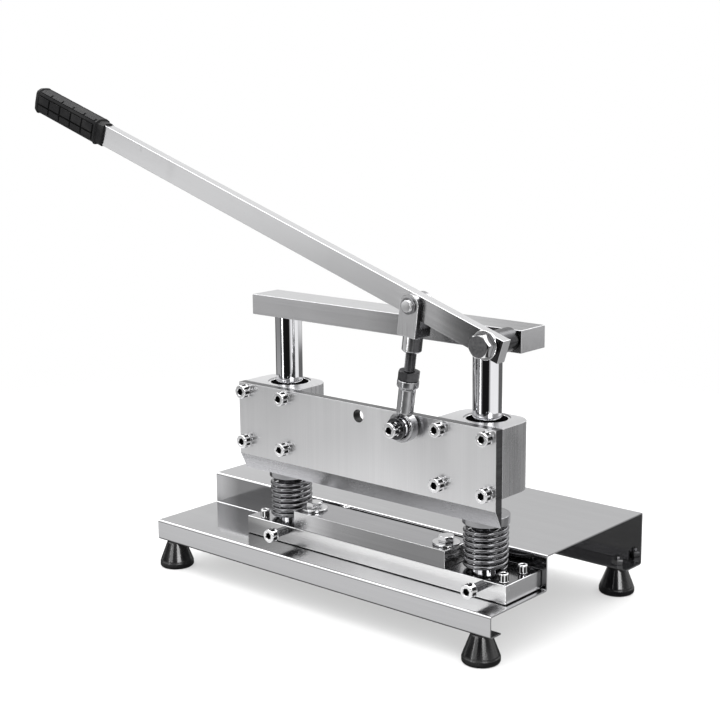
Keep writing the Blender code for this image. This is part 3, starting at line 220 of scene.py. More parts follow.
def carve(shape, *tools, how="DIFFERENCE"):
    """Cut shapes out of another, or join or intersect them."""
    objects = []
    for part in (shape, *tools):
        mesh = bpy.data.meshes.new("carving")
        part.to_mesh(mesh)
        part.free()
        objects.append(new_object("carving", mesh))
    for tool in objects[1:]:
        modifier = objects[0].modifiers.new("carving", "BOOLEAN")
        modifier.operation = how
        modifier.solver = "EXACT"
        modifier.object = tool
    result = bmesh.new()
    result.from_mesh(modified_mesh(objects[0], "carving"))
    for tool in objects[1:]:
        bpy.data.objects.remove(tool, do_unlink=True)
    bmesh.ops.remove_doubles(result, verts=result.verts, dist=1e-7)
    return result


def add_mesh(name, mesh, body, nodes=()):
    """Hang a finished mesh on its body, in the place of CAD nodes."""
    piece = new_object(name, mesh)
    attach(piece, body)
    if nodes:
        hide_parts(*nodes)
    print(name, len(mesh.polygons), "faces")
    return piece


def shaded(name, shape, smooth=32):
    """A mesh that is smooth up to an angle, and whose flats stay flat between their bevels."""
    mesh = bpy.data.meshes.new(name)
    shape.to_mesh(mesh)
    shape.free()
    mesh.shade_smooth()
    mesh.set_sharp_from_angle(angle=math.radians(smooth))
    carrier = new_object(name, mesh)
    carrier.modifiers.new(name, "WEIGHTED_NORMAL").keep_sharp = True
    return modified_mesh(carrier, name)


def add(name, shape, materials, body, nodes=(), place=None, smooth=32):
    if place is not None:
        moved(shape, place)
    mesh = shaded(name, shape, smooth)
    for material in materials if isinstance(materials, tuple) else (materials,):
        mesh.materials.append(material)
    return add_mesh(name, mesh, body, nodes)


# %% [markdown]
# ## Small helpers for nodes
#
# Shader trees and geometry trees are both written with one call per node. An input that is
# given a socket is linked to it, a node stands for its first output, and any other value is
# set on the input itself. The kind of a node is given without its long prefix. Numbers in a
# tree can also be written as plain sums: each sign adds one Math node.


# %% Node helpers
class Value:
    """A number in a tree."""

    def __init__(self, tree, socket):
        self.tree, self.socket = tree, socket

    def __add__(self, other):
        return self.tree.calc("ADD", self, other)

    def __sub__(self, other):
        return self.tree.calc("SUBTRACT", self, other)

    def __rsub__(self, other):
        return self.tree.calc("SUBTRACT", other, self)

    def __mul__(self, other):
        return self.tree.calc("MULTIPLY", self, other)

    def __truediv__(self, other):
        return self.tree.calc("DIVIDE", self, other)


def feed(item, inputs):
    for key, value in inputs.items():
        if isinstance(value, Value):
            value = value.socket
        elif isinstance(value, bpy.types.Node):
            value = value.outputs[0]
        if isinstance(value, bpy.types.NodeSocket):
            item.id_data.links.new(value, item.inputs[key])
        else:
            item.inputs[key].default_value = value
    return item


class Tree:
    """Short ways to add nodes to a node tree."""

    def __init__(self, data):
        self.data = data
        self.prefixes = ["ShaderNode"]
        if data.type == "GEOMETRY":
            self.prefixes = ["GeometryNode", "FunctionNode", "ShaderNode"]

    def add(self, kind, inputs=None, **settings):
        kinds = [prefix + kind for prefix in self.prefixes if hasattr(bpy.types, prefix + kind)]
        item = self.data.nodes.new(kinds[0])
        for setting, value in settings.items():
            setattr(item, setting, value)
        return feed(item, inputs or {})

    def calc(self, operation, *values):
        """One step of arithmetic."""
        return Value(self, self.add("Math", dict(enumerate(values)), operation=operation).outputs[0])

    def vector(self, operation, *values):
        """One step of arithmetic with vectors."""
        return self.add("VectorMath", dict(enumerate(values)), operation=operation)

    def split(self, vector):
        return [Value(self, part) for part in self.add("SeparateXYZ", {0: vector}).outputs]

    def joined(self, *values):
        return self.add("CombineXYZ", dict(enumerate(values)))

    def span(self, value, low, high, first=0.0, last=1.0, shape="LINEAR"):
        """Lead a value that runs from low to high over to first and last, and stop it there."""
        inputs = {0: value, 1: low, 2: high, 3: first, 4: last}
        return self.add("MapRange", inputs, interpolation_type=shape)

    def ramp(self, value, stops):
        """A run of greys through (place, level) stops, for a value between 0 and 1."""
        item = self.add("ValToRGB", {0: value})
        points = item.color_ramp.elements
        while len(points) < len(stops):
            points.new(1.0)
        for point, (place, level) in zip(points, stops):
            point.position = place
            point.color = (level, level, level, 1)
        return item

    def blend(self, share, first, last):
        """A mix of two colours."""
        return self.add("Mix", {0: share, 6: first, 7: last}, data_type="RGBA").outputs[2]

    def effect(self, name, **inputs):
        return self.add("Group", inputs, node_tree=bpy.data.node_groups[name])

    def copies(self, given, shape, turn=(0, 0, 0)):
        """A real copy of a shape on every given point, in the given metal."""
        inputs = {"Points": given["Geometry"], "Instance": shape, "Rotation": turn}
        plain = self.add("RealizeInstances", {"Geometry": self.add("InstanceOnPoints", inputs)})
        return self.add("SetMaterial", {"Geometry": plain, "Material": given["Metal"]})


def new_group(name, family, inputs, output="Geometry"):
    """An empty group with named sockets, and its input and output nodes. A shader group leads
    from a vector to a number, and a geometry group from geometry to geometry."""
    first, last = ("Vector", "Float") if family == "Shader" else ("Geometry", "Geometry")
    data = bpy.data.node_groups.new(name, family + "NodeTree")
    for label, kind, *default in ((first, first), *inputs):
        socket = data.interface.new_socket(label, in_out="INPUT", socket_type="NodeSocket" + kind)
        if default:
            socket.default_value = default[0]
    data.interface.new_socket(output, in_out="OUTPUT", socket_type="NodeSocket" + last)
    tree = Tree(data)
    given = {socket.name: Value(tree, socket) for socket in data.nodes.new("NodeGroupInput").outputs}
    return tree, given, data.nodes.new("NodeGroupOutput")


# %% [markdown]
# ## Shared effects of the finishes
#
# Machined and rolled steel shows fine lines that run one way, soft clouded patches where it
# was handled, and a few thin scratches. Each of these is a group that is built once. The
# grain group expects coordinates whose X runs along the lines, so every material turns its
# own object coordinates first.

# %% Effect groups
tree, given, result = new_group(
    "machined grain", "Shader", [("Along", "Float", 6.0), ("Across", "Float", 900.0)], "Grain")
x, y, z = tree.split(given["Vector"])
stretched = tree.joined(x * given["Along"], y * given["Across"], z * given["Across"])
fine = tree.add("TexNoise", {"Vector": stretched, "Scale": 1.0, "Detail": 4.0})
broad = tree.add("TexNoise", {"Vector": stretched, "Scale": 0.13, "Detail": 2.0})
feed(result, {"Grain": tree.calc("MULTIPLY_ADD", broad, 0.4, tree.calc("MULTIPLY", fine, 0.6))})

tree, given, result = new_group("handling marks", "Shader", [("Scale", "Float", 14.0)], "Marks")
clouds = tree.add("TexNoise", {"Vector": given["Vector"], "Scale": given["Scale"], "Detail": 6.0,
                               "Distortion": 0.6})
feed(result, {"Marks": tree.span(clouds, 0.42, 0.68, shape="SMOOTHSTEP")})

tree, given, result = new_group("thin scratches", "Shader", [("Scale", "Float", 45.0)], "Scratches")
bent = tree.add("TexNoise", {"Vector": given["Vector"], "Scale": 9.0, "Detail": 1.0})
shifted = tree.vector("ADD", given["Vector"], bent.outputs["Color"])
cells = tree.add("TexVoronoi", {"Vector": shifted, "Scale": given["Scale"]}, feature="DISTANCE_TO_EDGE")
patches = tree.add("TexNoise", {"Vector": given["Vector"], "Scale": 30.0})
thin, sparse = tree.span(cells, 0.0, 0.010, 1.0, 0.0), tree.span(patches, 0.52, 0.66)
feed(result, {"Scratches": tree.calc("MULTIPLY", thin, sparse)})

# %% [markdown]
# ## The metals
#
# All the metals share one recipe with different values: a light and a dark tone mixed along
# the grain, a roughness that rises on marks and scratches, and a shallow bump of the grain.
# Many also get painted light and shade: a ramp across the machine makes them brighter or
# darker by place.
# What tells rolled sheet from ground bar or chrome is how deep and how fine that grain is,
# and how rough the surface is before it. A grey given as one number gets a touch of blue.


# %% Metal recipe
def coordinates(tree, turn=(0, 0, 0)):
    """Object coordinates, turned so that X runs along the grain."""
    source = tree.add("TexCoord").outputs["Object"]
    return tree.add("Mapping", {"Vector": source, "Rotation": turn})


def new_material(name, colour):
    material = bpy.data.materials.new(name)
    material.use_nodes = True
    material.diffuse_color = colour
    return material, Tree(material.node_tree), material.node_tree.nodes["Principled BSDF"]


def tint(grey):
    return (*grey, 1.0) if isinstance(grey, tuple) else (grey, grey, grey + 0.01, 1.0)


def make_metal(name, dark, light, roughness, grain, turn=(0, 0, 0), marks=0.06, scratches=0.06,
               along=6.0, across=900.0, depth=0.02, painted_light=()):
    """Grain is how much the roughness swings with it, and depth how deep its bump is in mm.
    Painted light is a list of places across the machine in metres, each with how bright the
    metal is painted there, standing in for the light, shade and reflections that fall on it."""
    material, tree, shader = new_material(name, tint(light))
    vector = coordinates(tree, turn)
    lines = tree.effect("machined grain", Vector=vector, Along=along, Across=across)
    handled = tree.effect("handling marks", Vector=vector)
    scratched = tree.effect("thin scratches", Vector=vector)
    spread = tree.span(lines, 0.28, 0.72)
    colour = tree.blend(spread, tint(dark), tint(light))
    # Painted light and shade: the colour is multiplied by a ramp across the machine, which paints in the
    # light, shade and reflections that fall there.
    if painted_light:
        first, last = painted_light[0][0], painted_light[-1][0]
        across_machine = tree.split(tree.add("TexCoord").outputs["Object"])[0]
        stops = [((place - first) / (last - first), level) for place, level in painted_light]
        colour = tree.vector("MULTIPLY", colour, tree.ramp(tree.span(across_machine, first, last), stops))
    rough = tree.calc("MULTIPLY_ADD", spread, grain, roughness - grain / 2)
    rough = tree.calc("MULTIPLY_ADD", handled, marks, rough)
    rough = tree.calc("MULTIPLY_ADD", scratched, scratches, rough)
    height = tree.calc("SUBTRACT", lines, tree.calc("MULTIPLY", scratched, 0.2))
    bump = tree.add("Bump", {"Height": height, "Distance": depth * MM, "Strength": 1.0})
    feed(shader, {"Metallic": 1.0, "Base Color": colour, "Roughness": rough, "Normal": bump})
    return material


ALONG_Y = (0, 0, math.radians(90))
ALONG_Z = (0, math.radians(90), 0)
ALONG_LEVER = (0, -lever_angle, 0)
ROLLED = {"across": 700, "depth": 0.002, "marks": 0.04}
GROUND = {"along": 10, "across": 2200, "depth": 0.003}
POLISHED = {"along": 10, "across": 2200, "depth": 0.002}
EVEN = {"along": 300, "across": 300, "depth": 0.002}
sheet_steel = make_metal("rolled sheet", 0.56, 0.60, 0.10, 0.03, **ROLLED)
# The tray is painted a little darker across its middle, as painted shade in its reflections.
tray_steel = make_metal("sheet tray with painted shade", 0.56, 0.60, 0.10, 0.03, **ROLLED, painted_light=[
    (-0.13, 1.0), (0.0, 1.0), (0.07, 0.93), (0.20, 0.92), (0.285, 1.0)])
# The riser is painted dark from its left end on, as painted shade from the blade.
riser_steel = make_metal("sheet riser with painted shade", 0.54, 0.58, 0.10, 0.03, **ROLLED, painted_light=[
    (-0.13, 1.0), (-0.115, 0.95), (-0.09, 0.45), (-0.04, 0.40), (0.02, 0.25), (0.285, 0.3)])
bar_steel = make_metal("ground bar", 0.60, 0.68, 0.20, 0.06, **GROUND)
# The bar top is a darker copy of the bar's steel, painted darker still towards its right end, as painted
# shade and dark reflections.
bar_top_steel = make_metal("bar top with painted shade", 0.42, 0.50, 0.13, 0.05, **POLISHED, painted_light=[
    (-0.03, 1.0), (0.20, 1.0), (0.23, 0.6), (0.265, 0.45), (0.285, 0.45)])
# The bar front is very bright steel painted darker towards its left end, a painted reflection; it also
# paints light on the lower blade's right end.
bar_front_steel = make_metal("ground bar front", (0.93, 0.93, 0.93), (0.99, 0.99, 0.99), 0.18, 0.05,
                             **POLISHED, painted_light=[(-0.03, 0.26), (0.02, 0.54), (0.07, 0.84), (0.12, 0.98),
                                               (0.28, 1.0)])
# The beam front is painted dark towards its right end, as painted shade round the link and the lever's
# pivot.
beam_front_steel = make_metal("ground beam front", 0.60, 0.68, 0.20, 0.06, **GROUND, painted_light=[
    (-0.02, 1.0), (0.12, 1.0), (0.165, 0.6), (0.23, 0.5), (0.262, 0.22), (0.286, 0.15)])
beam_top_steel = make_metal("ground beam top", 0.55, 0.62, 0.20, 0.06, **GROUND)
# The lever front is painted dark towards the pivot, as painted shade between lever and beam.
lever_front_steel = make_metal("ground lever front", 0.70, 0.77, 0.20, 0.06, ALONG_LEVER, **GROUND, painted_light=[
    (-0.3, 1.0), (0.195, 1.0), (0.225, 0.88), (0.245, 0.44), (0.262, 0.2), (0.289, 0.06)])
# The lower blade has a darker copy of its steel on top, and its front is painted darker from left to right,
# as painted shade and reflections.
anvil_top_steel = make_metal("ground lower blade top", 0.36, 0.42, 0.17, 0.06, **GROUND)
anvil_steel = make_metal("ground lower blade", 0.66, 0.78, 0.19, 0.06, **GROUND, painted_light=[
    (0.036, 1.0), (0.056, 0.85), (0.088, 0.46), (0.13, 0.37), (0.175, 0.33), (0.216, 0.33)])
lever_steel = make_metal("ground lever", 0.66, 0.73, 0.20, 0.06, ALONG_LEVER, **GROUND)
# The plate's face is painted a little lighter across its middle, as painted reflection.
plate_steel = make_metal("satin blade plate", 0.78, 0.84, 0.30, 0.05, ALONG_Z, along=12, across=1500,
                         depth=0.003, painted_light=[(-0.03, 0.84), (0.06, 0.88), (0.12, 0.96), (0.17, 0.96),
                                            (0.22, 0.88), (0.28, 0.84)])
# The bevel is a darker copy painted darker across its middle, as painted reflection.
bevel_steel = make_metal("ground bevel", 0.38, 0.45, 0.22, 0.06, **GROUND, painted_light=[
    (-0.03, 1.0), (0.06, 0.80), (0.11, 0.38), (0.17, 0.38), (0.23, 0.64), (0.28, 0.80)])
# Near-black steel for the plate's top and ends, as painted shade.
edge_steel = make_metal("plate edge with painted shade", (0.05, 0.05, 0.052), (0.12, 0.12, 0.125), 0.28, 0.10,
                        ALONG_Y, depth=0.01)
block_metal = make_metal("milled guide block", 0.40, 0.62, 0.25, 0.12, ALONG_Z, across=320, depth=0.015)
fastener_steel = make_metal("bright fastener", 0.62, 0.72, 0.10, 0.05, **EVEN)
chrome = make_metal("chromed post", (0.74, 0.74, 0.76), (0.80, 0.80, 0.82), 0.05, 0.02,
                    along=500, across=30, depth=0.0005, marks=0.02, scratches=0.03)
spring_steel = make_metal("spring wire", (0.16, 0.16, 0.165), 0.26, 0.17, 0.06,
                          along=500, across=500, depth=0.004)
thread_steel = make_metal("threaded steel", (0.22, 0.22, 0.225), 0.34, 0.20, 0.08,
                          along=600, across=600, depth=0.003)
# Near-black steel that paints shade into sockets, knurl valleys, holes and the shadow under the base bar.
painted_shade_steel = make_metal("painted shade steel", (0.02, 0.02, 0.02), (0.04, 0.04, 0.04), 0.45, 0.05)
screw_steel = make_metal("bright screw", 0.86, 0.94, 0.10, 0.04, **EVEN)
nut_steel = make_metal("dark nut", (0.06, 0.06, 0.062), (0.12, 0.12, 0.125), 0.22, 0.08,
                       along=400, across=400, depth=0.004)
head_steel = make_metal("forged bolt face", (0.06, 0.06, 0.062), (0.20, 0.20, 0.205), 0.34, 0.12,
                        along=420, across=420, depth=0.04)
cap_steel = make_metal("turned cap", 0.30, 0.38, 0.13, 0.05, along=60, depth=0.003)
fork_steel = make_metal("fork face with painted light", 0.60, 0.72, 0.24, 0.08, ALONG_Z, along=60, depth=0.004)
link_steel = make_metal("turned link", 0.34, 0.48, 0.20, 0.08, along=400, across=120, depth=0.005)

# %% [markdown]
# ## The rubbers
#
# The feet are smooth moulded rubber with a shine, and the grip is duller with a fine grain
# from its mould. Neither has a metal's tint in its reflections, so they stay dielectric. A
# pinch of pale dust keeps the black from looking like a hole.


# %% Rubber recipe
def make_rubber(name, colour, roughness, pore_scale, pore_depth, dust=0.0, coat=0.0, gloss=0.5):
    material, tree, shader = new_material(name, tint(colour))
    vector = coordinates(tree)
    pores = tree.add("TexNoise", {"Vector": vector, "Scale": pore_scale, "Detail": 3.0})
    handled = tree.effect("handling marks", Vector=vector, Scale=40.0)
    colour = tree.blend(tree.calc("MULTIPLY", handled, dust), tint(colour), (0.45, 0.44, 0.42, 1))
    rough = tree.calc("MULTIPLY_ADD", handled, 0.10, roughness)
    rough = tree.calc("MULTIPLY_ADD", pores, 0.08, rough)
    bump = tree.add("Bump", {"Height": pores, "Distance": pore_depth * MM, "Strength": 1.0})
    feed(shader, {"Base Color": colour, "Roughness": rough, "Normal": bump, "Coat Weight": coat,
                  "Coat Roughness": 0.12, "Specular IOR Level": gloss})
    return material


foot_rubber = make_rubber("foot rubber", (0.004, 0.004, 0.0045), 0.16, 900.0, 0.005, 0.01, coat=0.7)
grip_rubber = make_rubber("grip rubber", (0.014, 0.014, 0.015), 0.45, 1400.0, 0.04, 0.03, gloss=0.14)
# Near-black rubber for the groove walls, as painted shade in the grooves.
groove_rubber = make_rubber("grip groove with painted shade", (0.001, 0.001, 0.001), 0.6, 1400.0, 0.02, gloss=0.1)
seal_rubber = make_rubber("bush seal", (0.003, 0.003, 0.003), 0.40, 600.0, 0.02, gloss=0.0)

# %% [markdown]
# ## Flat bars
#
# The base bar, lower blade, crossbeam and lever are plain ground bars. Each is one box with
# its edges broken, because that narrow edge is what draws a bright line along a real bar.
# Faces that look different ways get materials of their own, which carry painted light and
# shade: lighter and darker copies of the steel on the fronts, tops and right ends, a painted
# shadow on the base bar's underside, and a painted highlight on the lower blade's brow.


# %% Flat bars
def finish_faces(shape, front=0, top=0, right=0, under=0, brow=None):
    """Give the faces that look to the front, up, right and down their own material numbers.
    The brow is the broken edge between front and top."""
    for face in shape.faces:
        if brow and -0.9 < face.normal.y < -0.3 and face.normal.z > 0.3:
            face.material_index = brow
        elif face.normal.y < -0.9:
            face.material_index = front
        elif face.normal.z < -0.2:
            face.material_index = under
        elif face.normal.z > 0.9:
            face.material_index = top
        elif face.normal.x > 0.7:
            face.material_index = right
    return shape


LEVER_TAIL, LEVER_REACH, LEVER_HALF_HEIGHT = 15.0, 586.0, 10.0
# The base bar's underside gets near-black steel as a painted shadow line, and the lower blade's brow gets
# bright screw steel as a painted highlight.
for name, node, edge, ways, metals in (
    ("clamping_bar", "base_bar", 1.0, {"front": 1, "top": 2, "under": 3},
     (bar_steel, bar_front_steel, bar_top_steel, painted_shade_steel)),
    ("anvil_blade", "lower_blade", 0.4, {"top": 1, "right": 2, "brow": 3},
     (anvil_steel, anvil_top_steel, bar_front_steel, screw_steel)),
    ("top_beam", "crossbeam", 0.5, {"front": 1, "top": 2}, (bar_steel, beam_front_steel, beam_top_steel)),
):
    bar = break_edges(block(*zip(*box_mm(node))), edge, 3)
    add(name, finish_faces(bar, **ways), metals, "stand", [node], smooth=40)
low, high = box_mm("lever_bar")
lever = block((-LEVER_REACH, LEVER_TAIL), (low.y - pivot.y / MM, high.y - pivot.y / MM),
              (-LEVER_HALF_HEIGHT, LEVER_HALF_HEIGHT))
add("lever_arm", finish_faces(break_edges(lever, 0.5, 3), front=1), (lever_steel, lever_front_steel),
    "lever", ["lever_bar"], on_lever, 40)

# %% [markdown]
# ## The folded base
#
# The base is one sheet folded six times: a lip under the front, the front apron, the tray,
# the riser, the shelf, the rear flange and its lip. Its section is offset from one centre
# line with a real bend radius, and pulled from end to end. The cut ends get a small bevel,
# because a laser-cut edge is tumbled before the sheet is polished. The tray has a little
# painted shade across its middle, and the riser behind it is painted dark with the shade of
# the blade.


# %% Folded sheet
def folded_section(path, thickness, radius, steps):
    points = [Vector(point) for point in path]
    line = [points[0]]
    for before, corner, after in zip(points, points[1:], points[2:]):
        inward, outward = (before - corner).normalized(), (after - corner).normalized()
        half = inward.angle(outward) / 2
        bend = radius - thickness / 2
        reach = bend / math.tan(half)
        centre = corner + (inward + outward).normalized() * bend / math.sin(half)
        start, end = corner + inward * reach - centre, corner + outward * reach - centre
        sweep = math.atan2(start.x * end.y - start.y * end.x, start.dot(end))
        line += [centre + Matrix.Rotation(sweep * step / steps, 2) @ start for step in range(steps + 1)]
    line.append(points[-1])
    left, right = [], []
    for index, point in enumerate(line):
        along = (line[min(index + 1, len(line) - 1)] - line[max(index - 1, 0)]).normalized()
        side = Vector((-along.y, along.x)) * thickness / 2
        left.append(point + side)
        right.append(point - side)
    return [tuple(point) for point in left + right[::-1]]


SHEET, BEND, FRONT_LIP, REAR_LIP = 1.5, 2.4, 15.2, 27
BAR_LIFT, BAR_TO_RISER = 0.3, 0.6
low, high = box_mm("base_sheet")
tray = (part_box("base_bar")[0].z - BAR_LIFT * MM) / MM
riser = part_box("base_bar")[1].y / MM + BAR_TO_RISER
half = SHEET / 2
path = [
    (low.y + FRONT_LIP, low.z + half), (low.y + half, low.z + half), (low.y + half, tray - half),
    (riser + half, tray - half), (riser + half, high.z - half), (high.y - half, high.z - half),
    (high.y - half, low.z + half), (high.y - REAR_LIP, low.z + half),
]
sheet = face_out(moved(prism(folded_section(path, SHEET, BEND, 8), low.x, high.x), SECTION_TO_X))
break_edges(sheet, 0.22, least=60)
# The riser's front gets its painted shade, and the tray's top its painted shade across the middle.
for face in sheet.faces:
    centre = face.calc_center_median() / MM
    if abs(centre.y - riser) < 0.1 and face.normal.y < -0.9:
        face.material_index = 1
    elif abs(centre.z - tray) < 0.1 and face.normal.z > 0.9:
        face.material_index = 2
add("folded_base", sheet, (sheet_steel, riser_steel, tray_steel), "stand", ["base_sheet"])

# %% [markdown]
# ## Posts, caps and bushes
#
# These are all turned. The posts are hard-chromed shafts, the caps are thick washers that
# ride down on the springs, and each guide block holds a ball bush whose rubber seal shows as
# a dark ring round the post.

# %% Turned guide parts
POST, CAP, BUSH, SEAL = 25, (41.5, 25.7), (39.8, 35.6), (35.5, 25.8)
SEAL_DEPTH = 1.4
for side, place in post_places.items():
    place = at(place.x, place.y, 0)
    low, high = box_mm("guide_post_" + side)
    add("post_" + side, rod(POST, low.z, high.z, 0.8, 128), chrome, "stand",
        ["guide_post_" + side], place)
    low, high = box_mm("spring_cap_" + side)
    add("cap_" + side, tube(*CAP, low.z, high.z, 1.0, 128), cap_steel, "caps",
        ["spring_cap_" + side], place)
    low, high = box_mm("linear_bush_" + side)
    add("bush_" + side, tube(*BUSH, low.z, high.z), screw_steel, "blade",
        ["linear_bush_" + side], place)
    add("bush_seal_" + side, tube(*SEAL, low.z + SEAL_DEPTH, high.z - SEAL_DEPTH, 0.3), seal_rubber,
        "blade", (), place)

# %% [markdown]
# ## Guide blocks
#
# Each block is milled from a flat bar with its two back corners rounded, and bored right
# through for the bush. The bore is cut after the edges are broken, so that its rim stays
# crisp like a bored hole. Its top has the plate's finish with its painted light, and its
# broken top edge carries bright screw steel as a painted highlight.

# %% Guide blocks
BACK_CORNER, BUSH_BORE = 18, 40.2
for side, place in post_places.items():
    low, high = ((corner - place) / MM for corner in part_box("guide_block_" + side))
    outline = [(low.x, low.y), (high.x, low.y)]
    outline += arc((high.x - BACK_CORNER, high.y - BACK_CORNER), BACK_CORNER, 0, 90, 16)
    outline += arc((low.x + BACK_CORNER, high.y - BACK_CORNER), BACK_CORNER, 90, 180, 16)
    body = carve(break_edges(prism(outline, low.z, high.z), 0.7), rod(BUSH_BORE, low.z - 2, high.z + 2))
    # The top gets the plate's finish and the broken top edge bright steel, a painted highlight.
    for face in body.faces:
        face.material_index = 1 if face.normal.z > 0.9 else 2 if face.normal.z > 0.2 else 0
    add("block_" + side, body, (block_metal, plate_steel, screw_steel), "blade",
        ["guide_block_" + side], Matrix.Translation(place), 28)

# %% [markdown]
# ## The blade plate
#
# The moving blade is a ground plate with a long bevel on its front lower edge. Its section
# is drawn from the side and pulled along the machine. Every edge but the cutting edge is
# lightly broken, and a spare hole near the top is drilled through with a countersunk rim.
# The top and the two ends are painted dark as shade, their broken edges carry a painted
# highlight, and the wall of the hole is painted dark as shade.

# %% Blade plate
BEVEL_HEIGHT, BEVEL_LAND, BREAK, END_BREAK = 15.7, 0.6, 0.75, 1.8
HOLE, HOLE_DROP = 10.8, 10.4
low, high = box_mm("blade_plate")
outline = [(high.y, low.z), (high.y, high.z), (low.y, high.z), (low.y, low.z + BEVEL_HEIGHT),
           (high.y - BEVEL_LAND, low.z)]
plate = face_out(moved(prism(outline, low.x, high.x), SECTION_TO_X))


def is_cutting_edge(edge):
    return all(vertex.co.z < (low.z + 1) * MM for vertex in edge.verts)


break_edges(plate, BREAK, spare=is_cutting_edge)
near_edge = BREAK + 0.01
for vertex in plate.verts:
    at_end = not low.x + near_edge < vertex.co.x / MM < high.x - near_edge
    if at_end and vertex.co.y < (low.y + near_edge) * MM:
        vertex.co.y = low.y * MM + (vertex.co.y - low.y * MM) * END_BREAK
hole_place = at(centre_x, low.y * MM, (high.z - HOLE_DROP) * MM) @ FRONTWARD
sink = lathe([(0, -0.7), (HOLE / 2 - 0.2, -0.7), (HOLE / 2 + 0.7, 0.3), (0, 0.3)])
plate = carve(plate, moved(rod(HOLE, -12, 3), hole_place), moved(sink, hole_place))
# The hole wall gets painted shade, the top and ends painted shade, their broken ends a painted highlight,
# and the bevel its darker copy.
for face in plate.faces:
    centre = face.calc_center_median() - hole_place.translation
    if math.hypot(centre.x, centre.z) < (HOLE / 2 + 0.8) * MM and face.normal.y > -0.9:
        face.material_index = 3
    elif abs(face.normal.x) > 0.9 or face.normal.z > 0.9:
        face.material_index = 1
    elif abs(face.normal.x) > 0.3:
        face.material_index = 4
    else:
        face.material_index = 2 if -0.9 < face.normal.z < -0.2 else 0
add("cutting_plate", plate, (plate_steel, edge_steel, bevel_steel, painted_shade_steel, screw_steel), "blade",
    ["blade_plate"], smooth=20)

# %% [markdown]
# ## Screws by Geometry Nodes
#
# Sixteen cap screws repeat in five sizes. One tree sets a pattern screw on every point of
# the mesh it is given, spins each one by a seeded random angle, as screws never stop at the
# same turn, and tips them all to the side they are driven from. The pattern is turned and
# cut once for each size. Faces inside the socket and in the valleys of the knurl carry an
# attribute, so that the tree can paint them near black as painted shade: little light
# reaches them.

# %% Screw tree
tree, given, result = new_group("screws on points", "Geometry", [
    ("Pattern", "Object"), ("Turn", "Vector", (0.0, 0.0, 0.0)), ("Spin Seed", "Int", 1),
    ("Metal", "Material"), ("Hollow Metal", "Material"),
])
pattern = tree.add("ObjectInfo", {"Object": given["Pattern"]}).outputs["Geometry"]
spin = tree.add("RandomValue", {"Seed": given["Spin Seed"], 2: 0.0, 3: math.tau}, data_type="FLOAT")
about_axis = tree.add("EulerToRotation", {0: tree.joined(0.0, 0.0, spin.outputs[1])})
tipped = tree.add("EulerToRotation", {0: given["Turn"]})
turned = tree.add("RotateRotation", {0: about_axis, 1: tipped}, rotation_space="GLOBAL")
# The hollow faces get the near-black metal, a painted shade.
hollow = tree.add("InputNamedAttribute", {"Name": "hollow"}, data_type="BOOLEAN")
coated = tree.add("SetMaterial", {
    "Geometry": tree.copies(given, pattern, turned), "Selection": hollow, "Material": given["Hollow Metal"],
})
feed(result, {"Geometry": coated})


def grow(name, group, start, values):
    """Run a geometry tree on a start mesh and return the plain mesh that it makes."""
    carrier = new_object(name, start)
    modifier = carrier.modifiers.new(name, "NODES")
    modifier.node_group = bpy.data.node_groups[group]
    for item in modifier.node_group.interface.items_tree:
        if item.item_type == "SOCKET" and item.in_out == "INPUT" and item.name in values:
            modifier[item.identifier] = values[item.name]
    return modified_mesh(carrier, name)


def dots(places):
    mesh = bpy.data.meshes.new("places")
    mesh.from_pydata([tuple(place) for place in places], [], [])
    return mesh


# %% Pattern screws
FLUTES, STEPS_PER_FLUTE, KNURL_DEPTH, KNURL_RUN = 9, 8, 0.09, 0.25
KNURL_FOOT, KNURL_TOP = 0.10, 0.80
SOCKET_MOUTH, SOCKET_FLOOR = 0.35, 0.86


def cap_screw(head, height, shank, length, socket, depth):
    """A socket cap screw whose knurled head stands on Z = 0."""
    r = head / 2
    low, high = KNURL_FOOT * height, KNURL_TOP * height
    profile = [(0, -length), (shank / 2, -length), (shank / 2, 0), (r, 0), (r, height / 2)]
    profile = soften(profile, 0.5)[:-1]
    profile += [Vector((r, z)) for z in (low - KNURL_RUN, low, high, high + KNURL_RUN)]
    profile += soften([(r, height / 2), (r, height), (0, height)], 0.8, 4)[1:]
    screw = lathe(profile, FLUTES * STEPS_PER_FLUTE)
    for vertex in screw.verts:
        if min(abs(vertex.co.z / MM - low), abs(vertex.co.z / MM - high)) < 0.01:
            step = round(math.atan2(vertex.co.y, vertex.co.x) / math.tau * FLUTES * STEPS_PER_FLUTE)
            if step % STEPS_PER_FLUTE in (2, 3, 4, 5):
                vertex.co.xy *= 1 - KNURL_DEPTH
    key = prism(hexagon(socket), height - depth, height + 2)
    point = socket / math.sqrt(3)
    inside, rim = point * SOCKET_FLOOR, height - SOCKET_MOUTH
    tip = lathe([(0, height - depth - 0.3 * point), (inside, height - depth + 0.2), (inside, height),
                 (0, height)], 48)
    mouth = lathe([(0, rim), (point - 0.15, rim), (point + 0.5, height + 0.3), (0, height + 0.3)], 48)
    screw = carve(screw, key, tip, mouth)
    flag = screw.faces.layers.bool.new("hollow")
    for face in screw.faces:
        centre = face.calc_center_median() / MM
        reach = math.hypot(centre.x, centre.y)
        in_flute = reach < r * (1 - KNURL_DEPTH / 2) and low < centre.z < high
        face[flag] = (in_flute or reach < point) and rim - 0.01 > centre.z > 0
    return screw


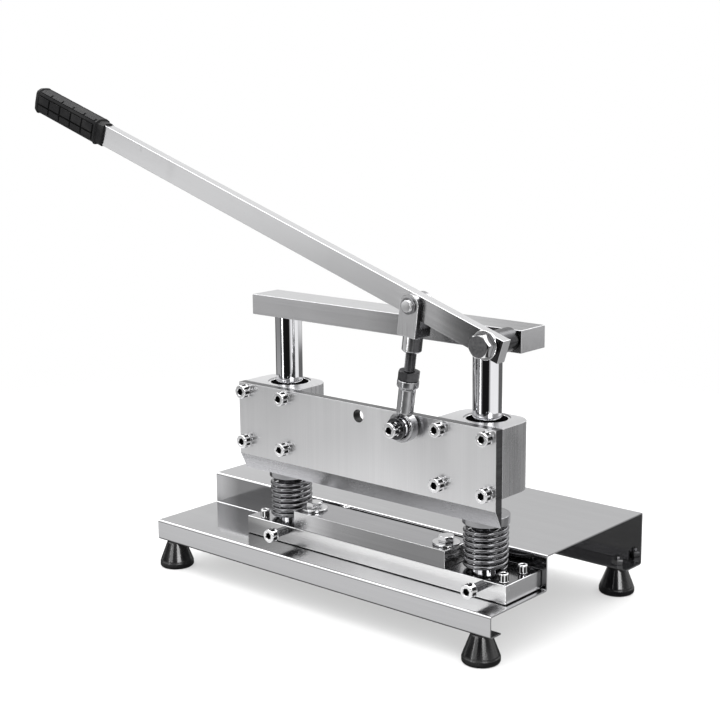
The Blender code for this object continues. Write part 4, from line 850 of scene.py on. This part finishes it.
def make_screws(name, nodes, toward, sizes, body, seed):
    """Sizes are the head, its height, the shank, its length, the socket and its depth."""
    height = sizes[1] * MM
    places = []
    for item in nodes:
        low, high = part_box(item)
        place = (low + high) / 2
        if toward == "front":
            place.y = low.y + height
        else:
            place.z = high.z - height
        places.append(place)
    model = bpy.data.objects.new(name + "_pattern", shaded(name + "_pattern", cap_screw(*sizes)))
    grown = grow(name, "screws on points", dots(places), {
        "Pattern": model, "Turn": (math.radians(90), 0, 0) if toward == "front" else (0, 0, 0),
        "Spin Seed": seed, "Metal": screw_steel, "Hollow Metal": painted_shade_steel,
    })
    bpy.data.objects.remove(model, do_unlink=True)
    return add_mesh(name, grown, body, nodes)


M8_HEAD = 8
stop_head = box_mm("lower_blade_stop_screw")[1].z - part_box("base_bar")[1].z / MM - 0.3
low, high = box_mm("link_screw")
make_screws("plate_screws", ["blade_screw_%d" % number for number in range(1, 9)], "front",
            (12.4, M8_HEAD, 7, 18, 6, 4), "blade", 3)
make_screws("bar_screws", ["bar_screw_" + corner for corner in CORNERS], "up",
            (8.5, 7.8, 5, 20.5, 4, 3), "stand", 5)
make_screws("side_screws", ["clamp_screw_" + side for side in SIDES], "front",
            (12.5, M8_HEAD, 6.6, 30, 6, 4), "stand", 8)
make_screws("stop_screw", ["lower_blade_stop_screw"], "up", (7, stop_head, 4, 4, 3, 2), "stand", 2)
make_screws("ball_screw", ["link_screw"], "front",
            (13, M8_HEAD, 8, high.y - low.y - M8_HEAD, 6, 4), "blade", 4)

# %% [markdown]
# ## Threads by Geometry Nodes
#
# A thread is a groove that climbs by one pitch for each turn. The tree starts from a fine
# cylinder and pulls its skin inward by a triangle wave of height minus turn, so the result
# is one closed body with a true helix. The wave fades at both ends, where a real thread
# runs out into a chamfer.

# %% Thread tree
THREAD_SIDES = 36
tree, given, result = new_group("helical thread", "Geometry", [
    ("Radius", "Float", 0.004), ("Length", "Float", 0.02), ("Pitch", "Float", 0.00125),
    ("Depth", "Float", 0.0007), ("Steps", "Int", 8), ("Turn", "Vector", (0.0, 0.0, 0.0)),
    ("Metal", "Material"),
])
core = tree.add("MeshCylinder", {
    "Vertices": THREAD_SIDES, "Side Segments": given["Length"] / given["Pitch"] * given["Steps"],
    "Radius": given["Radius"], "Depth": given["Length"],
})
x, y, z = tree.split(tree.add("InputPosition"))
climb = z / given["Pitch"] - tree.calc("ARCTAN2", y, x) / math.tau
wave = tree.calc("PINGPONG", climb + 1000.0, 0.5) * 2.0
from_end = given["Length"] / 2.0 - tree.calc("ABSOLUTE", z)
crest = tree.calc("MINIMUM", wave, tree.calc("MINIMUM", from_end / given["Depth"], 1.0))
keep = 1.0 - (1.0 - crest) * (given["Depth"] / given["Radius"])
threaded = tree.add("SetPosition", {"Geometry": core, "Position": tree.joined(x * keep, y * keep, z)})
turned = tree.add("EulerToRotation", {0: given["Turn"]})
smooth = tree.add("SetShadeSmooth", {"Geometry": threaded})
feed(result, {"Geometry": tree.copies(given, smooth, turned)})


def make_thread(name, places, diameter, length, pitch, body, turn=(0, 0, 0), nodes=(), metal=nut_steel):
    grown = grow(name, "helical thread", dots(places), {
        "Radius": diameter / 2 * MM, "Length": length * MM, "Pitch": pitch * MM,
        "Depth": pitch * 0.6 * MM, "Turn": turn, "Metal": metal,
    })
    return add_mesh(name, grown, body, nodes)


SHANK_MIDDLE, STUD_LENGTH = 7.5, 11
FORK_FOOT, NECK, ROD_END_TOP, THREAD_IN = -26.8, 14.1, 41.6, 14
shanks = [middle("clamp_screw_" + side) for side in SIDES]
for place in shanks:
    place.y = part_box("base_bar")[0].y - SHANK_MIDDLE * MM
make_thread("side_screw_threads", shanks, 8, 17.5, 1.25, "stand", (math.radians(90), 0, 0))
low, high = -link_length / MM + ROD_END_TOP - THREAD_IN, FORK_FOOT - NECK + THREAD_IN
make_thread("stud_thread", [on_link @ Vector((0, 0, (low + high) / 2 * MM))], 9.6, high - low, 1.5,
            "link", (0, link_angle, 0), ["link_stud"])
stud_middle = (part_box("foot_front_left")[1].z / MM - STUD_LENGTH / 2) * MM
studs = [Vector((place.x, place.y, stud_middle)) for place in foot_places.values()]
make_thread("foot_studs", studs, 6, STUD_LENGTH, 1.0, "stand", metal=thread_steel)

# %% [markdown]
# ## Springs by Geometry Nodes
#
# A compression spring with closed ends climbs slowly for its first and last turn and evenly
# between them. The tree lines up points, lifts each by that rule, joins them into a curve
# and sweeps the wire along it. The springs shorten as the caps come down, and each coil is
# given a mesh of its own.

# %% Spring tree
tree, given, result = new_group("closed end spring", "Geometry", [
    ("Turns", "Float", 7.5), ("Length", "Float", 0.04), ("Coil Radius", "Float", 0.018),
    ("Wire", "Float", 0.003), ("Closed Rise", "Float", 0.004), ("Points Per Turn", "Int", 40),
    ("Metal", "Material"),
])
count = tree.calc("MULTIPLY_ADD", given["Turns"], given["Points Per Turn"], 1.0)
turn = tree.calc("DIVIDE", tree.add("InputIndex"), given["Points Per Turn"])
open_height = given["Length"] - given["Wire"] - given["Closed Rise"] * 2.0
open_rise = open_height / (given["Turns"] - 2.0)
first_turn = tree.calc("MINIMUM", turn, 1.0)
last_turn = tree.calc("MAXIMUM", turn - (given["Turns"] - 1.0), 0.0)
height = (first_turn + last_turn) * given["Closed Rise"]
height = tree.calc("MULTIPLY_ADD", turn - first_turn - last_turn, open_rise, height)
height = tree.calc("MULTIPLY_ADD", given["Wire"], 0.5, height)
x, y = (tree.calc(wave, turn * math.tau) * given["Coil Radius"] for wave in ("COSINE", "SINE"))
line = tree.add("SetPosition", {
    "Geometry": tree.add("MeshLine", {"Count": count}), "Position": tree.joined(x, y, height),
})
section = tree.add("CurvePrimitiveCircle", {"Resolution": 14, "Radius": given["Wire"] * 0.5})
swept = tree.add("CurveToMesh", {"Curve": tree.add("MeshToCurve", {"Mesh": line}),
                                 "Profile Curve": section, "Fill Caps": True})
feed(result, {"Geometry": tree.copies(given, tree.add("SetShadeSmooth", {"Geometry": swept}))})

SPRING_WIRE, SPRING_OUTSIDE, SPRING_TURNS, CLOSED_GAP = 4.0, 40.0, 7.5, 0.6
spring_foot, spring_top = (corner.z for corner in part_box("spring_left"))
spring_length = spring_top - spring_foot
for side, place in post_places.items():
    coil = grow("coil_" + side, "closed end spring", dots([(place.x, place.y, spring_foot)]), {
        "Turns": SPRING_TURNS, "Length": spring_length, "Wire": SPRING_WIRE * MM,
        "Coil Radius": (SPRING_OUTSIDE - SPRING_WIRE) / 2 * MM,
        "Closed Rise": (SPRING_WIRE + CLOSED_GAP) * MM, "Metal": spring_steel,
    })
    piece = add_mesh("coil_" + side, coil, "stand", ["spring_" + side])
    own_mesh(piece)

# %% [markdown]
# ## Hexagon heads, nuts and washers
#
# A hexagon head starts as a six-sided prism and is crossed with a blunt cone, which turns
# its corners off in the curved chamfers that every bolt has. The heads are left blank.


# %% Hexagon parts
CHAMFER, CLAMP_HEAD, PIVOT_HEAD = 0.62, 5.3, 7.5


def hex_body(flats, low, high, both=False):
    """A hexagon with its top corners turned off, or the corners at both ends."""
    radius = flats / math.sqrt(3)
    drop = (radius - flats / 2) * CHAMFER
    face, rim = flats / 2 - 0.1, radius + 0.05
    bottom = [(0, low), (face, low), (rim, low + drop)] if both else [(0, low - 1), (rim, low - 1)]
    crown = lathe(bottom + [(rim, high - drop), (face, high), (0, high)])
    return carve(prism(hexagon(flats), low - (0.5 if both else 0), high + 0.5), crown, how="INTERSECT")


def hex_bolt(flats, height, shank, length):
    flange = rod(flats * 0.95, -0.01, 0.4)
    return carve(hex_body(flats, 0, height), rod(shank, -length, 1, 0.3), flange, how="UNION")


def hex_nut(flats, height, bore):
    wide, narrow = bore / 2 + 0.5, bore / 2 - 0.2
    return carve(hex_body(flats, 0, height, both=True), rod(bore, -1, height + 1),
                 lathe([(0, -0.5), (wide, -0.5), (narrow, 0.5), (0, 0.5)]),
                 lathe([(0, height - 0.5), (narrow, height - 0.5), (wide, height + 0.5),
                        (0, height + 0.5)]))


def flat_ring(name, node, outer, bore, metal, body, centre, edge=0.5):
    """A washer or spacer on a bolt that is driven from the front."""
    low, high = box_mm(node)
    add(name, tube(outer, bore, 0, high.y - low.y, edge), metal, body, [node],
        place=at(centre.x, high.y * MM, centre.z) @ FRONTWARD)


for side in SIDES:
    place = middle("lower_blade_bolt_" + side)
    low, high = box_mm("lower_blade_bolt_" + side)
    add("clamp_bolt_" + side, hex_bolt(13, CLAMP_HEAD, 8, high.z - low.z - CLAMP_HEAD), fastener_steel,
        "stand", ["lower_blade_bolt_" + side],
        place=at(place.x, place.y, (high.z - CLAMP_HEAD) * MM), smooth=24)
    low, high = box_mm("lower_blade_washer_" + side)
    add("clamp_washer_" + side, tube(24.6, 8.6, low.z, high.z, 0.5), fastener_steel, "stand",
        ["lower_blade_washer_" + side], place=at(place.x, place.y, 0))
for corner, place in foot_places.items():
    add("stud_nut_" + corner, hex_nut(10, 5, 6), fastener_steel, "stand", ["foot_nut_" + corner],
        place=at(place.x, place.y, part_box("foot_nut_" + corner)[0].z), smooth=24)
low, high = box_mm("pivot_bolt")
bolt = moved(hex_bolt(18, PIVOT_HEAD, 12, high.y - low.y - PIVOT_HEAD),
             Matrix.Rotation(math.radians(8), 4, "Z"))
add("lever_bolt", finish_faces(bolt, top=1), (screw_steel, head_steel), "stand", ["pivot_bolt"],
    place=at(pivot.x, (low.y + PIVOT_HEAD) * MM, pivot.z) @ FRONTWARD, smooth=24)
flat_ring("lever_washer", "pivot_washer", 24.5, 12.6, fastener_steel, "stand", pivot, 0.6)
# The spacer is dark nut steel as painted shade, for the shade it sits in between lever and beam.
flat_ring("lever_spacer", "pivot_spacer", 20, 12.6, nut_steel, "stand", pivot)

# %% [markdown]
# ## The link
#
# A fork hangs from the lever on a pin. A threaded stud with a lock nut joins it to a rod end,
# whose ball sits on a screw in the blade plate, so the link can swing and its length can be
# set. The fork is milled square, with ears rounded over the pin and a turned neck below.

# %% Fork and pin
FORK_HALF, SLOT_HALF, SLOT_FOOT = 10, 5.3, -18.5
STUD_HOLE, PIN_HOLE, PIN = 9.8, 10.4, 5
neck_foot = FORK_FOOT - NECK
fork = prism([(-FORK_HALF, FORK_FOOT), (FORK_HALF, FORK_FOOT)] + arc((0, 0), FORK_HALF, 0, 180, 32),
             -FORK_HALF, FORK_HALF)
fork = break_edges(face_out(moved(fork, FRONTWARD)), 0.8, least=40)
neck = lathe(soften([(0, neck_foot), (7, neck_foot), (8.5, neck_foot + 1.5), (8.5, -25), (0, -25)], 0.5))
slot = block((-12, 12), (-SLOT_HALF, SLOT_HALF), (SLOT_FOOT, 12))
fork = carve(carve(fork, neck, how="UNION"), slot, moved(rod(PIN_HOLE, -12, 12), FRONTWARD),
             rod(STUD_HOLE, -43, -23))
# The fork's front is a lighter steel as painted light, and its right side dark nut steel as painted shade.
add("link_fork", finish_faces(fork, front=1, right=2), (link_steel, fork_steel, nut_steel), "link",
    ["fork"], place=on_link, smooth=30)
pin = lathe(soften([(0, -12.3), (7, -12.3), (7, -10.3), (PIN, -10.3), (PIN, 11.6), (4.3, 11.9),
                    (4.3, 12.9), (PIN, 13.1), (PIN, 14.2), (0, 14.2)], 0.5))
add("hinge_pin", pin, screw_steel, "link", ["fork_pin"], place=on_link @ FRONTWARD)
add("pin_clip", tube(14.5, 10.1, 10.3, 11.8, 0.3), thread_steel, "link", ["fork_clip"],
    place=on_link @ FRONTWARD)

# %% Rod end, ball and lock nut
RING, RING_HALF, RING_EDGE = 13.2, 5.25, 1.2
BALL, BALL_HALF, BALL_BORE = 10, 7, 5.6
eye = lathe(soften([(0, -RING_HALF), (RING - RING_EDGE, -RING_HALF), (RING, -RING_HALF + RING_EDGE),
                    (RING, RING_HALF - RING_EDGE), (RING - RING_EDGE, RING_HALF), (0, RING_HALF)], 0.6))
shank = lathe(soften([(0, 6.6), (5.25, 6.6), (7.4, 13.2), (7.4, 34), (9.4, 36), (9.4, ROD_END_TOP),
                      (0, ROD_END_TOP)], 0.8))
eye = carve(carve(moved(eye, FRONTWARD), shank, how="UNION"),
            moved(rod(BALL * 2 + 0.6, -8, 8), FRONTWARD), rod(STUD_HOLE, 23, 43))
add("rod_eye", eye, link_steel, "link", ["rod_end"], place=on_ball, smooth=30)
ball = [(BALL_BORE, -BALL_HALF)] + arc((0, 0), BALL, -44.4, 44.4, 20) + [(BALL_BORE, BALL_HALF)]
add("rod_ball", lathe(ball, bored=True), chrome, "link", ["rod_end_ball"], place=on_ball @ FRONTWARD)
add("stud_nut", hex_nut(17, 8, 9.6), nut_steel, "link", ["lock_nut"],
    place=on_link @ at(0, 0, (ROD_END_TOP + 0.3) * MM - link_length), smooth=24)
flat_ring("ball_washer", "link_washer", 19, 8.6, nut_steel, "blade", link_low)
flat_ring("ball_spacer", "link_spacer", 18, 8.6, nut_steel, "blade", link_low)

# %% [markdown]
# ## The feet
#
# Each foot is a cone of moulded rubber with a short upright rim, softened at every edge.

# %% Rubber feet
FOOT_PROFILE = [(0, 0), (15.2, 0), (16.6, 1.6), (16.6, 5.6), (15.9, 6.6), (15.9, 7.4), (9.3, 24.6),
                (8.6, 25.7), (0, 25.7)]
for corner, place in foot_places.items():
    add("rubber_foot_" + corner, lathe(soften(FOOT_PROFILE, 0.9, 4)), foot_rubber, "stand",
        ["foot_" + corner], at(place.x, place.y, 0))

# %% [markdown]
# ## The grip by Geometry Nodes
#
# The grip is a moulded sleeve with rows of raised pads. Its section is lofted along the lever
# between plain rims, and the faces that become pads are marked. The tree lifts every marked
# face by itself, shrinks it along and across the lever to leave the grooves, and lifts it
# again. A bevel then rounds the pads as the mould does.

# %% Grip sleeve
GRIP_END, GRIP_LENGTH, COLUMNS, FIRST_COLUMN = 594.3, 107.5, 5, 6
SECTION = ((0.24, 1.0), (0.50, 0.98), (0.90, 0.80), (1.0, 0.60), (1.0, -0.20), (0.93, -0.74), (0.66, -0.98))
HALF_DEPTH, HALF_HEIGHT = 9.4, 12.9
HOLLOW_DEPTH, HOLLOW_HEIGHT, HOLLOW_END = 5.25, 10.25, 586.3
PAD_ROWS = (1, 3, 4)


def grip_ring(shape, along, shrink_depth, shrink_height):
    """One ring of points round the section, the front half first and its mirror after."""
    front = [(-y, z) for y, z in SECTION]
    back = [(-y, z) for y, z in reversed(front)]
    depth, height = (HALF_DEPTH - shrink_depth) * MM, (HALF_HEIGHT - shrink_height) * MM
    return [shape.verts.new((along * MM, y * depth, z * height)) for y, z in front + back]


near = GRIP_LENGTH - GRIP_END
first_pad, last_pad = -GRIP_END + 7.5, near - 12.5
stations = [(-GRIP_END + step, shrink, shrink) for step, shrink in (
    (0, 4.6), (0.7, 2.4), (2.2, 0.8), (4.2, 0), (6.2, 0), (6.8, 0.9))]
stations += [(first_pad + (last_pad - first_pad) * step / COLUMNS, 0.9, 0.9) for step in range(COLUMNS + 1)]
stations += [(last_pad + 0.7, 0.9, 0.9), (last_pad + 1.2, 0, 0), (last_pad + 3.2, 0, 0),
             (last_pad + 3.9, 1.6, 1.6), (near, 2.0, 1.4)]
sleeve = bmesh.new()
rings = [grip_ring(sleeve, *station) for station in stations]
sleeve.faces.new(rings[0][::-1])
pad_flag = sleeve.faces.layers.bool.new("pad")
size = len(rings[0])
pad_rows = PAD_ROWS + tuple(size - 2 - row for row in PAD_ROWS)
for index, (one, two) in enumerate(zip(rings, rings[1:])):
    for corner in range(size):
        beside = (corner + 1) % size
        face = sleeve.faces.new((one[corner], one[beside], two[beside], two[corner]))
        face[pad_flag] = FIRST_COLUMN <= index < FIRST_COLUMN + COLUMNS and corner in pad_rows
mouth = [sleeve.verts.new((near * MM, y * HOLLOW_DEPTH * MM, z * HOLLOW_HEIGHT * MM))
         for y, z in ((-1, 1), (-1, -1), (1, -1), (1, 1))]
floor = [sleeve.verts.new((-HOLLOW_END * MM, vertex.co.y, vertex.co.z)) for vertex in mouth]
for corner in range(4):
    beside = (corner + 1) % 4
    sleeve.faces.new((mouth[corner], mouth[beside], floor[beside], floor[corner]))
sleeve.faces.new(floor)
lip_edges = [edge for edge in sleeve.edges if edge.is_boundary]
bmesh.ops.triangle_fill(sleeve, use_beauty=True, use_dissolve=False, edges=lip_edges)
start = bpy.data.meshes.new("sleeve")
face_out(sleeve).to_mesh(start)
sleeve.free()

# %% Pad tree
tree, given, result = new_group("raised pads", "Geometry", [
    ("Length Share", "Float", 0.87), ("Height Share", "Float", 0.78), ("Rise", "Float", 0.0009),
    ("Rubber", "Material"), ("Groove Rubber", "Material"),
])
marked = tree.add("InputNamedAttribute", {"Name": "pad"}, data_type="BOOLEAN")
coated = tree.add("SetMaterial", {"Geometry": given["Geometry"], "Material": given["Rubber"]})
lifted = tree.add("ExtrudeMesh", {
    "Mesh": coated, "Selection": marked, "Offset Scale": 0.0, "Individual": True,
}, mode="FACES")
# The sides of the lifted pads, the groove walls, get the near-black rubber as painted shade.
shape, top = tree.add("SetMaterial", {
    "Geometry": lifted, "Selection": lifted.outputs[2], "Material": given["Groove Rubber"],
}), lifted.outputs[1]
length_axis = tree.joined(1.0)
height_axis = tree.vector("CROSS_PRODUCT", tree.add("InputNormal"), length_axis)
for axis, share in ((length_axis, given["Length Share"]), (height_axis, given["Height Share"])):
    shape = tree.add("ScaleElements", {
        "Geometry": shape, "Selection": top, "Scale": share, "Axis": axis,
    }, domain="FACE", scale_mode="SINGLE_AXIS")
raised = tree.add("ExtrudeMesh", {
    "Mesh": shape, "Selection": top, "Offset Scale": given["Rise"], "Individual": True,
}, mode="FACES")
feed(result, {"Geometry": tree.add("RealizeInstances", {"Geometry": raised})})

grown = grow("grip_mould", "raised pads", start, {"Rubber": grip_rubber, "Groove Rubber": groove_rubber})
shape = bmesh.new()
shape.from_mesh(grown)
bmesh.ops.remove_doubles(shape, verts=shape.verts, dist=1e-6)
add("hand_grip", break_edges(face_out(shape), 0.35, least=24), (grip_rubber, groove_rubber), "lever",
    ["grip"], on_lever, 50)

# %% [markdown]
# ## Camera
#
# The camera stands to the right of the machine, a little above it, and looks at it with a
# longish lens, so the bars keep nearly parallel edges.

# %% Camera
FOCAL_PIXELS, FRAME_PIXELS, SENSOR = 1475.0, 720.0, 36.0
PITCH, YAW, ROLL = math.radians(11.61), math.radians(41.14), math.radians(-0.5)
eye_place = Vector((centre_x, centre_y, 0.046)) + Vector((0.8292, -0.9797, 0.4495))
forward = Vector((-math.sin(YAW) * math.cos(PITCH), math.cos(YAW) * math.cos(PITCH), -math.sin(PITCH)))
level = Vector((math.cos(YAW), math.sin(YAW), 0))
upright = level.cross(forward)
side_axis = math.cos(ROLL) * level + math.sin(ROLL) * upright
up_axis = math.cos(ROLL) * upright - math.sin(ROLL) * level
camera = new_object("camera", bpy.data.cameras.new("camera"))
camera.data.sensor_width = SENSOR
camera.data.lens = FOCAL_PIXELS / FRAME_PIXELS * SENSOR
turned = Matrix((side_axis, up_axis, -forward)).transposed().to_4x4()
camera.matrix_world = Matrix.Translation(eye_place) @ turned
scene = bpy.context.scene
scene.camera = camera
print("lens", round(camera.data.lens, 2), "mm")

# %% [markdown]
# ## Floor, world and lamps
#
# Polished metal shows what stands round it, so the studio matters as much as the finishes.
# The world is white to the camera. For light and reflections it is a bright tent with one
# dark card beside the camera and dimmer sides, which gives the chrome its black and light
# bands. The floor is a pale disc that fades out into the white, and keeps the soft shadow.
# In reflections it glows instead with its own painted run of tones from front to back, a
# painted reflection on the metals.

# %% Studio
CAMERA_BEARING = math.degrees(YAW) - 90
scene.world = bpy.data.worlds.new("studio")
scene.world.use_nodes = True
tree = Tree(scene.world.node_tree)
x, y, height = tree.split(tree.add("TexCoord").outputs["Generated"])
level_direction = tree.vector("NORMALIZE", tree.joined(x, y))


def window(bearing, half_width, soft):
    """1 inside a stretch of the horizon, counted in degrees from the camera's bearing."""
    angle = math.radians(CAMERA_BEARING + bearing)
    near_it = tree.vector("DOT_PRODUCT", level_direction, (math.cos(angle), math.sin(angle), 0))
    outer, inner = (math.cos(math.radians(half_width + side)) for side in (soft, -soft))
    return tree.span(near_it.outputs["Value"], outer, inner, shape="SMOOTHSTEP")


def wall(stops):
    """The brightness of a stretch of the tent by the height of the direction, -1 to 1."""
    share = tree.calc("MULTIPLY_ADD", height, 0.5, 0.5)
    return tree.ramp(share, [((place + 1) / 2, level) for place, level in stops])


TENT = [(-1, 0.3), (-0.3, 0.45), (0, 0.6), (0.3, 0.75), (1, 0.85)]
STRETCHES = [
    ((-96, 31, 6), [(-1, 0.8), (-0.28, 0.60), (-0.22, 0.46), (-0.17, 0.24), (-0.135, 0.83), (-0.10, 1.06),
                    (-0.03, 0.9), (0.02, 0.06), (0.26, 0.06), (0.33, 1.35), (1, 1.35)]),
    ((-70, 8, 3), [(-1, 0.8), (-0.30, 0.5), (-0.22, 0.15), (-0.14, 0.12), (-0.09, 0.4), (-0.03, 0.7),
                   (0.02, 0.06), (0.26, 0.06), (0.33, 1.35), (1, 1.35)]),
    ((-19, 28, 3), [(-1, 0.1), (-0.6, 0.01), (0.35, 0.01), (0.6, 0.35), (1, 0.85)]),
    ((54, 36, 4), [(-1, 0.6), (-0.4, 1.05), (0.12, 1.05), (0.22, 0.15), (0.6, 0.15), (1, 0.85)]),
    ((125, 33, 5), [(-1, 0.15), (-0.40, 0.55), (-0.34, 0.42), (-0.25, 0.14), (-0.195, 0.14),
                    (-0.183, 0.85), (0, 0.55), (0.25, 0.7), (0.4, 1.5), (1, 1.5)]),
    ((185, 28, 6), [(-1, 0.1), (-0.05, 0.2), (0.08, 0.9), (0.18, 0.93), (0.25, 0.95), (0.29, 0.74),
                    (0.34, 0.74), (0.37, 0.88), (0.45, 0.9), (1, 0.8)]),
    ((167, 8, 3), [(-1, 0.1), (-0.05, 0.2), (0.08, 0.34), (0.19, 0.38), (0.27, 0.74), (0.34, 0.74),
                   (0.37, 0.90), (0.45, 0.95), (1, 0.8)]),
    ((-150, 18, 5), [(-1, 0.06), (0, 0.08), (0.1, 0.4), (0.3, 0.7), (1, 0.8)]),
]
light = wall(TENT)
for stretch, stops in STRETCHES:
    light = tree.blend(window(*stretch), light, wall(stops))
light = tree.vector("ADD", light, tree.span(height, 0.62, 0.80, 0.0, 1.4))
seen = tree.add("LightPath").outputs["Is Camera Ray"]
shown = tree.blend(seen, light, (1, 1, 1, 1))
feed(tree.data.nodes["Background"], {"Color": shown, "Strength": 1.0})

# %% Floor
FLOOR_RADIUS = 1.6
FLOOR_TONES = [(-0.60, 0.55), (-0.42, 0.85), (-0.31, 0.98), (-0.26, 0.88), (-0.16, 0.84), (-0.12, 0.06)]
floor_mesh = bpy.data.meshes.new("studio_floor")
disc = bmesh.new()
bmesh.ops.create_circle(disc, cap_ends=True, segments=96, radius=FLOOR_RADIUS)
disc.to_mesh(floor_mesh)
disc.free()
studio_floor = new_object("studio_floor", floor_mesh)
floor_paint, tree, shader = new_material("studio floor", (0.9, 0.9, 0.9, 1.0))
spot = tree.add("TexCoord").outputs["Object"]
mirrored = tree.add("LightPath").outputs["Is Glossy Ray"]
x, y, _ = tree.split(spot)
painted = tree.ramp(y + 1.0, [(1 + place, tone) for place, tone in FLOOR_TONES])
behind, inside = tree.span(y, 0.122, 0.14, 0.0, 0.6), tree.span(x, 0.26, 0.34, 1.0, 0.0)
beside = tree.span(x, 0.29, 0.36, 0.0, 0.42)
tone = tree.calc("MAXIMUM", tree.calc("MAXIMUM", painted, beside), tree.calc("MULTIPLY", behind, inside))
fade = tree.span(tree.vector("LENGTH", spot).outputs["Value"], 0.45, 0.95, 1.0, 0.0, "SMOOTHSTEP")
# For glossy rays the floor is black and glows with the painted tones.
feed(shader, {
    "Roughness": 0.9, "Specular IOR Level": 0.0, "Emission Strength": 1.0,
    "Emission Color": tree.calc("MULTIPLY", tone, mirrored),
    "Base Color": tree.calc("MULTIPLY_ADD", mirrored, -0.9, 0.9),
    "Alpha": tree.calc("MULTIPLY", fade, tree.calc("MULTIPLY_ADD", mirrored, 0.5, 0.5)),
})
floor_mesh.materials.append(floor_paint)


# %% Lamps
def area_lamp(name, place, target, size, watts):
    lamp = bpy.data.lights.new(name, "AREA")
    lamp.shape = "RECTANGLE"
    lamp.size, lamp.size_y = size
    lamp.energy = watts
    holder = new_object(name, lamp)
    holder.location = place
    holder.rotation_euler = (Vector(target) - Vector(place)).to_track_quat("-Z", "Y").to_euler()


area_lamp("top_light", (-0.2, -0.1, 2.2), (0, 0, 0), (1.8, 1.8), 16)
area_lamp("left_strip", (-0.45, -1.95, 0.3), (0, 0, 0.25), (0.12, 1.9), 5)
area_lamp("right_key", (3.50, -1.93, 1.65), (0, 0, 0.05), (1.9, 0.6), 36)
area_lamp("left_key", (0.0, -4.0, 1.65), (0, 0, 0.05), (1.5, 0.6), 12)
area_lamp("edge_light_left", (-1.6, 0.05, 1.9), (0, 0, 0.1), (1.0, 0.8), 8)
area_lamp("edge_light_right", (0.45, 1.7, 1.5), (0, 0, 0.1), (0.8, 0.6), 4)
scene.view_settings.view_transform = "Standard"
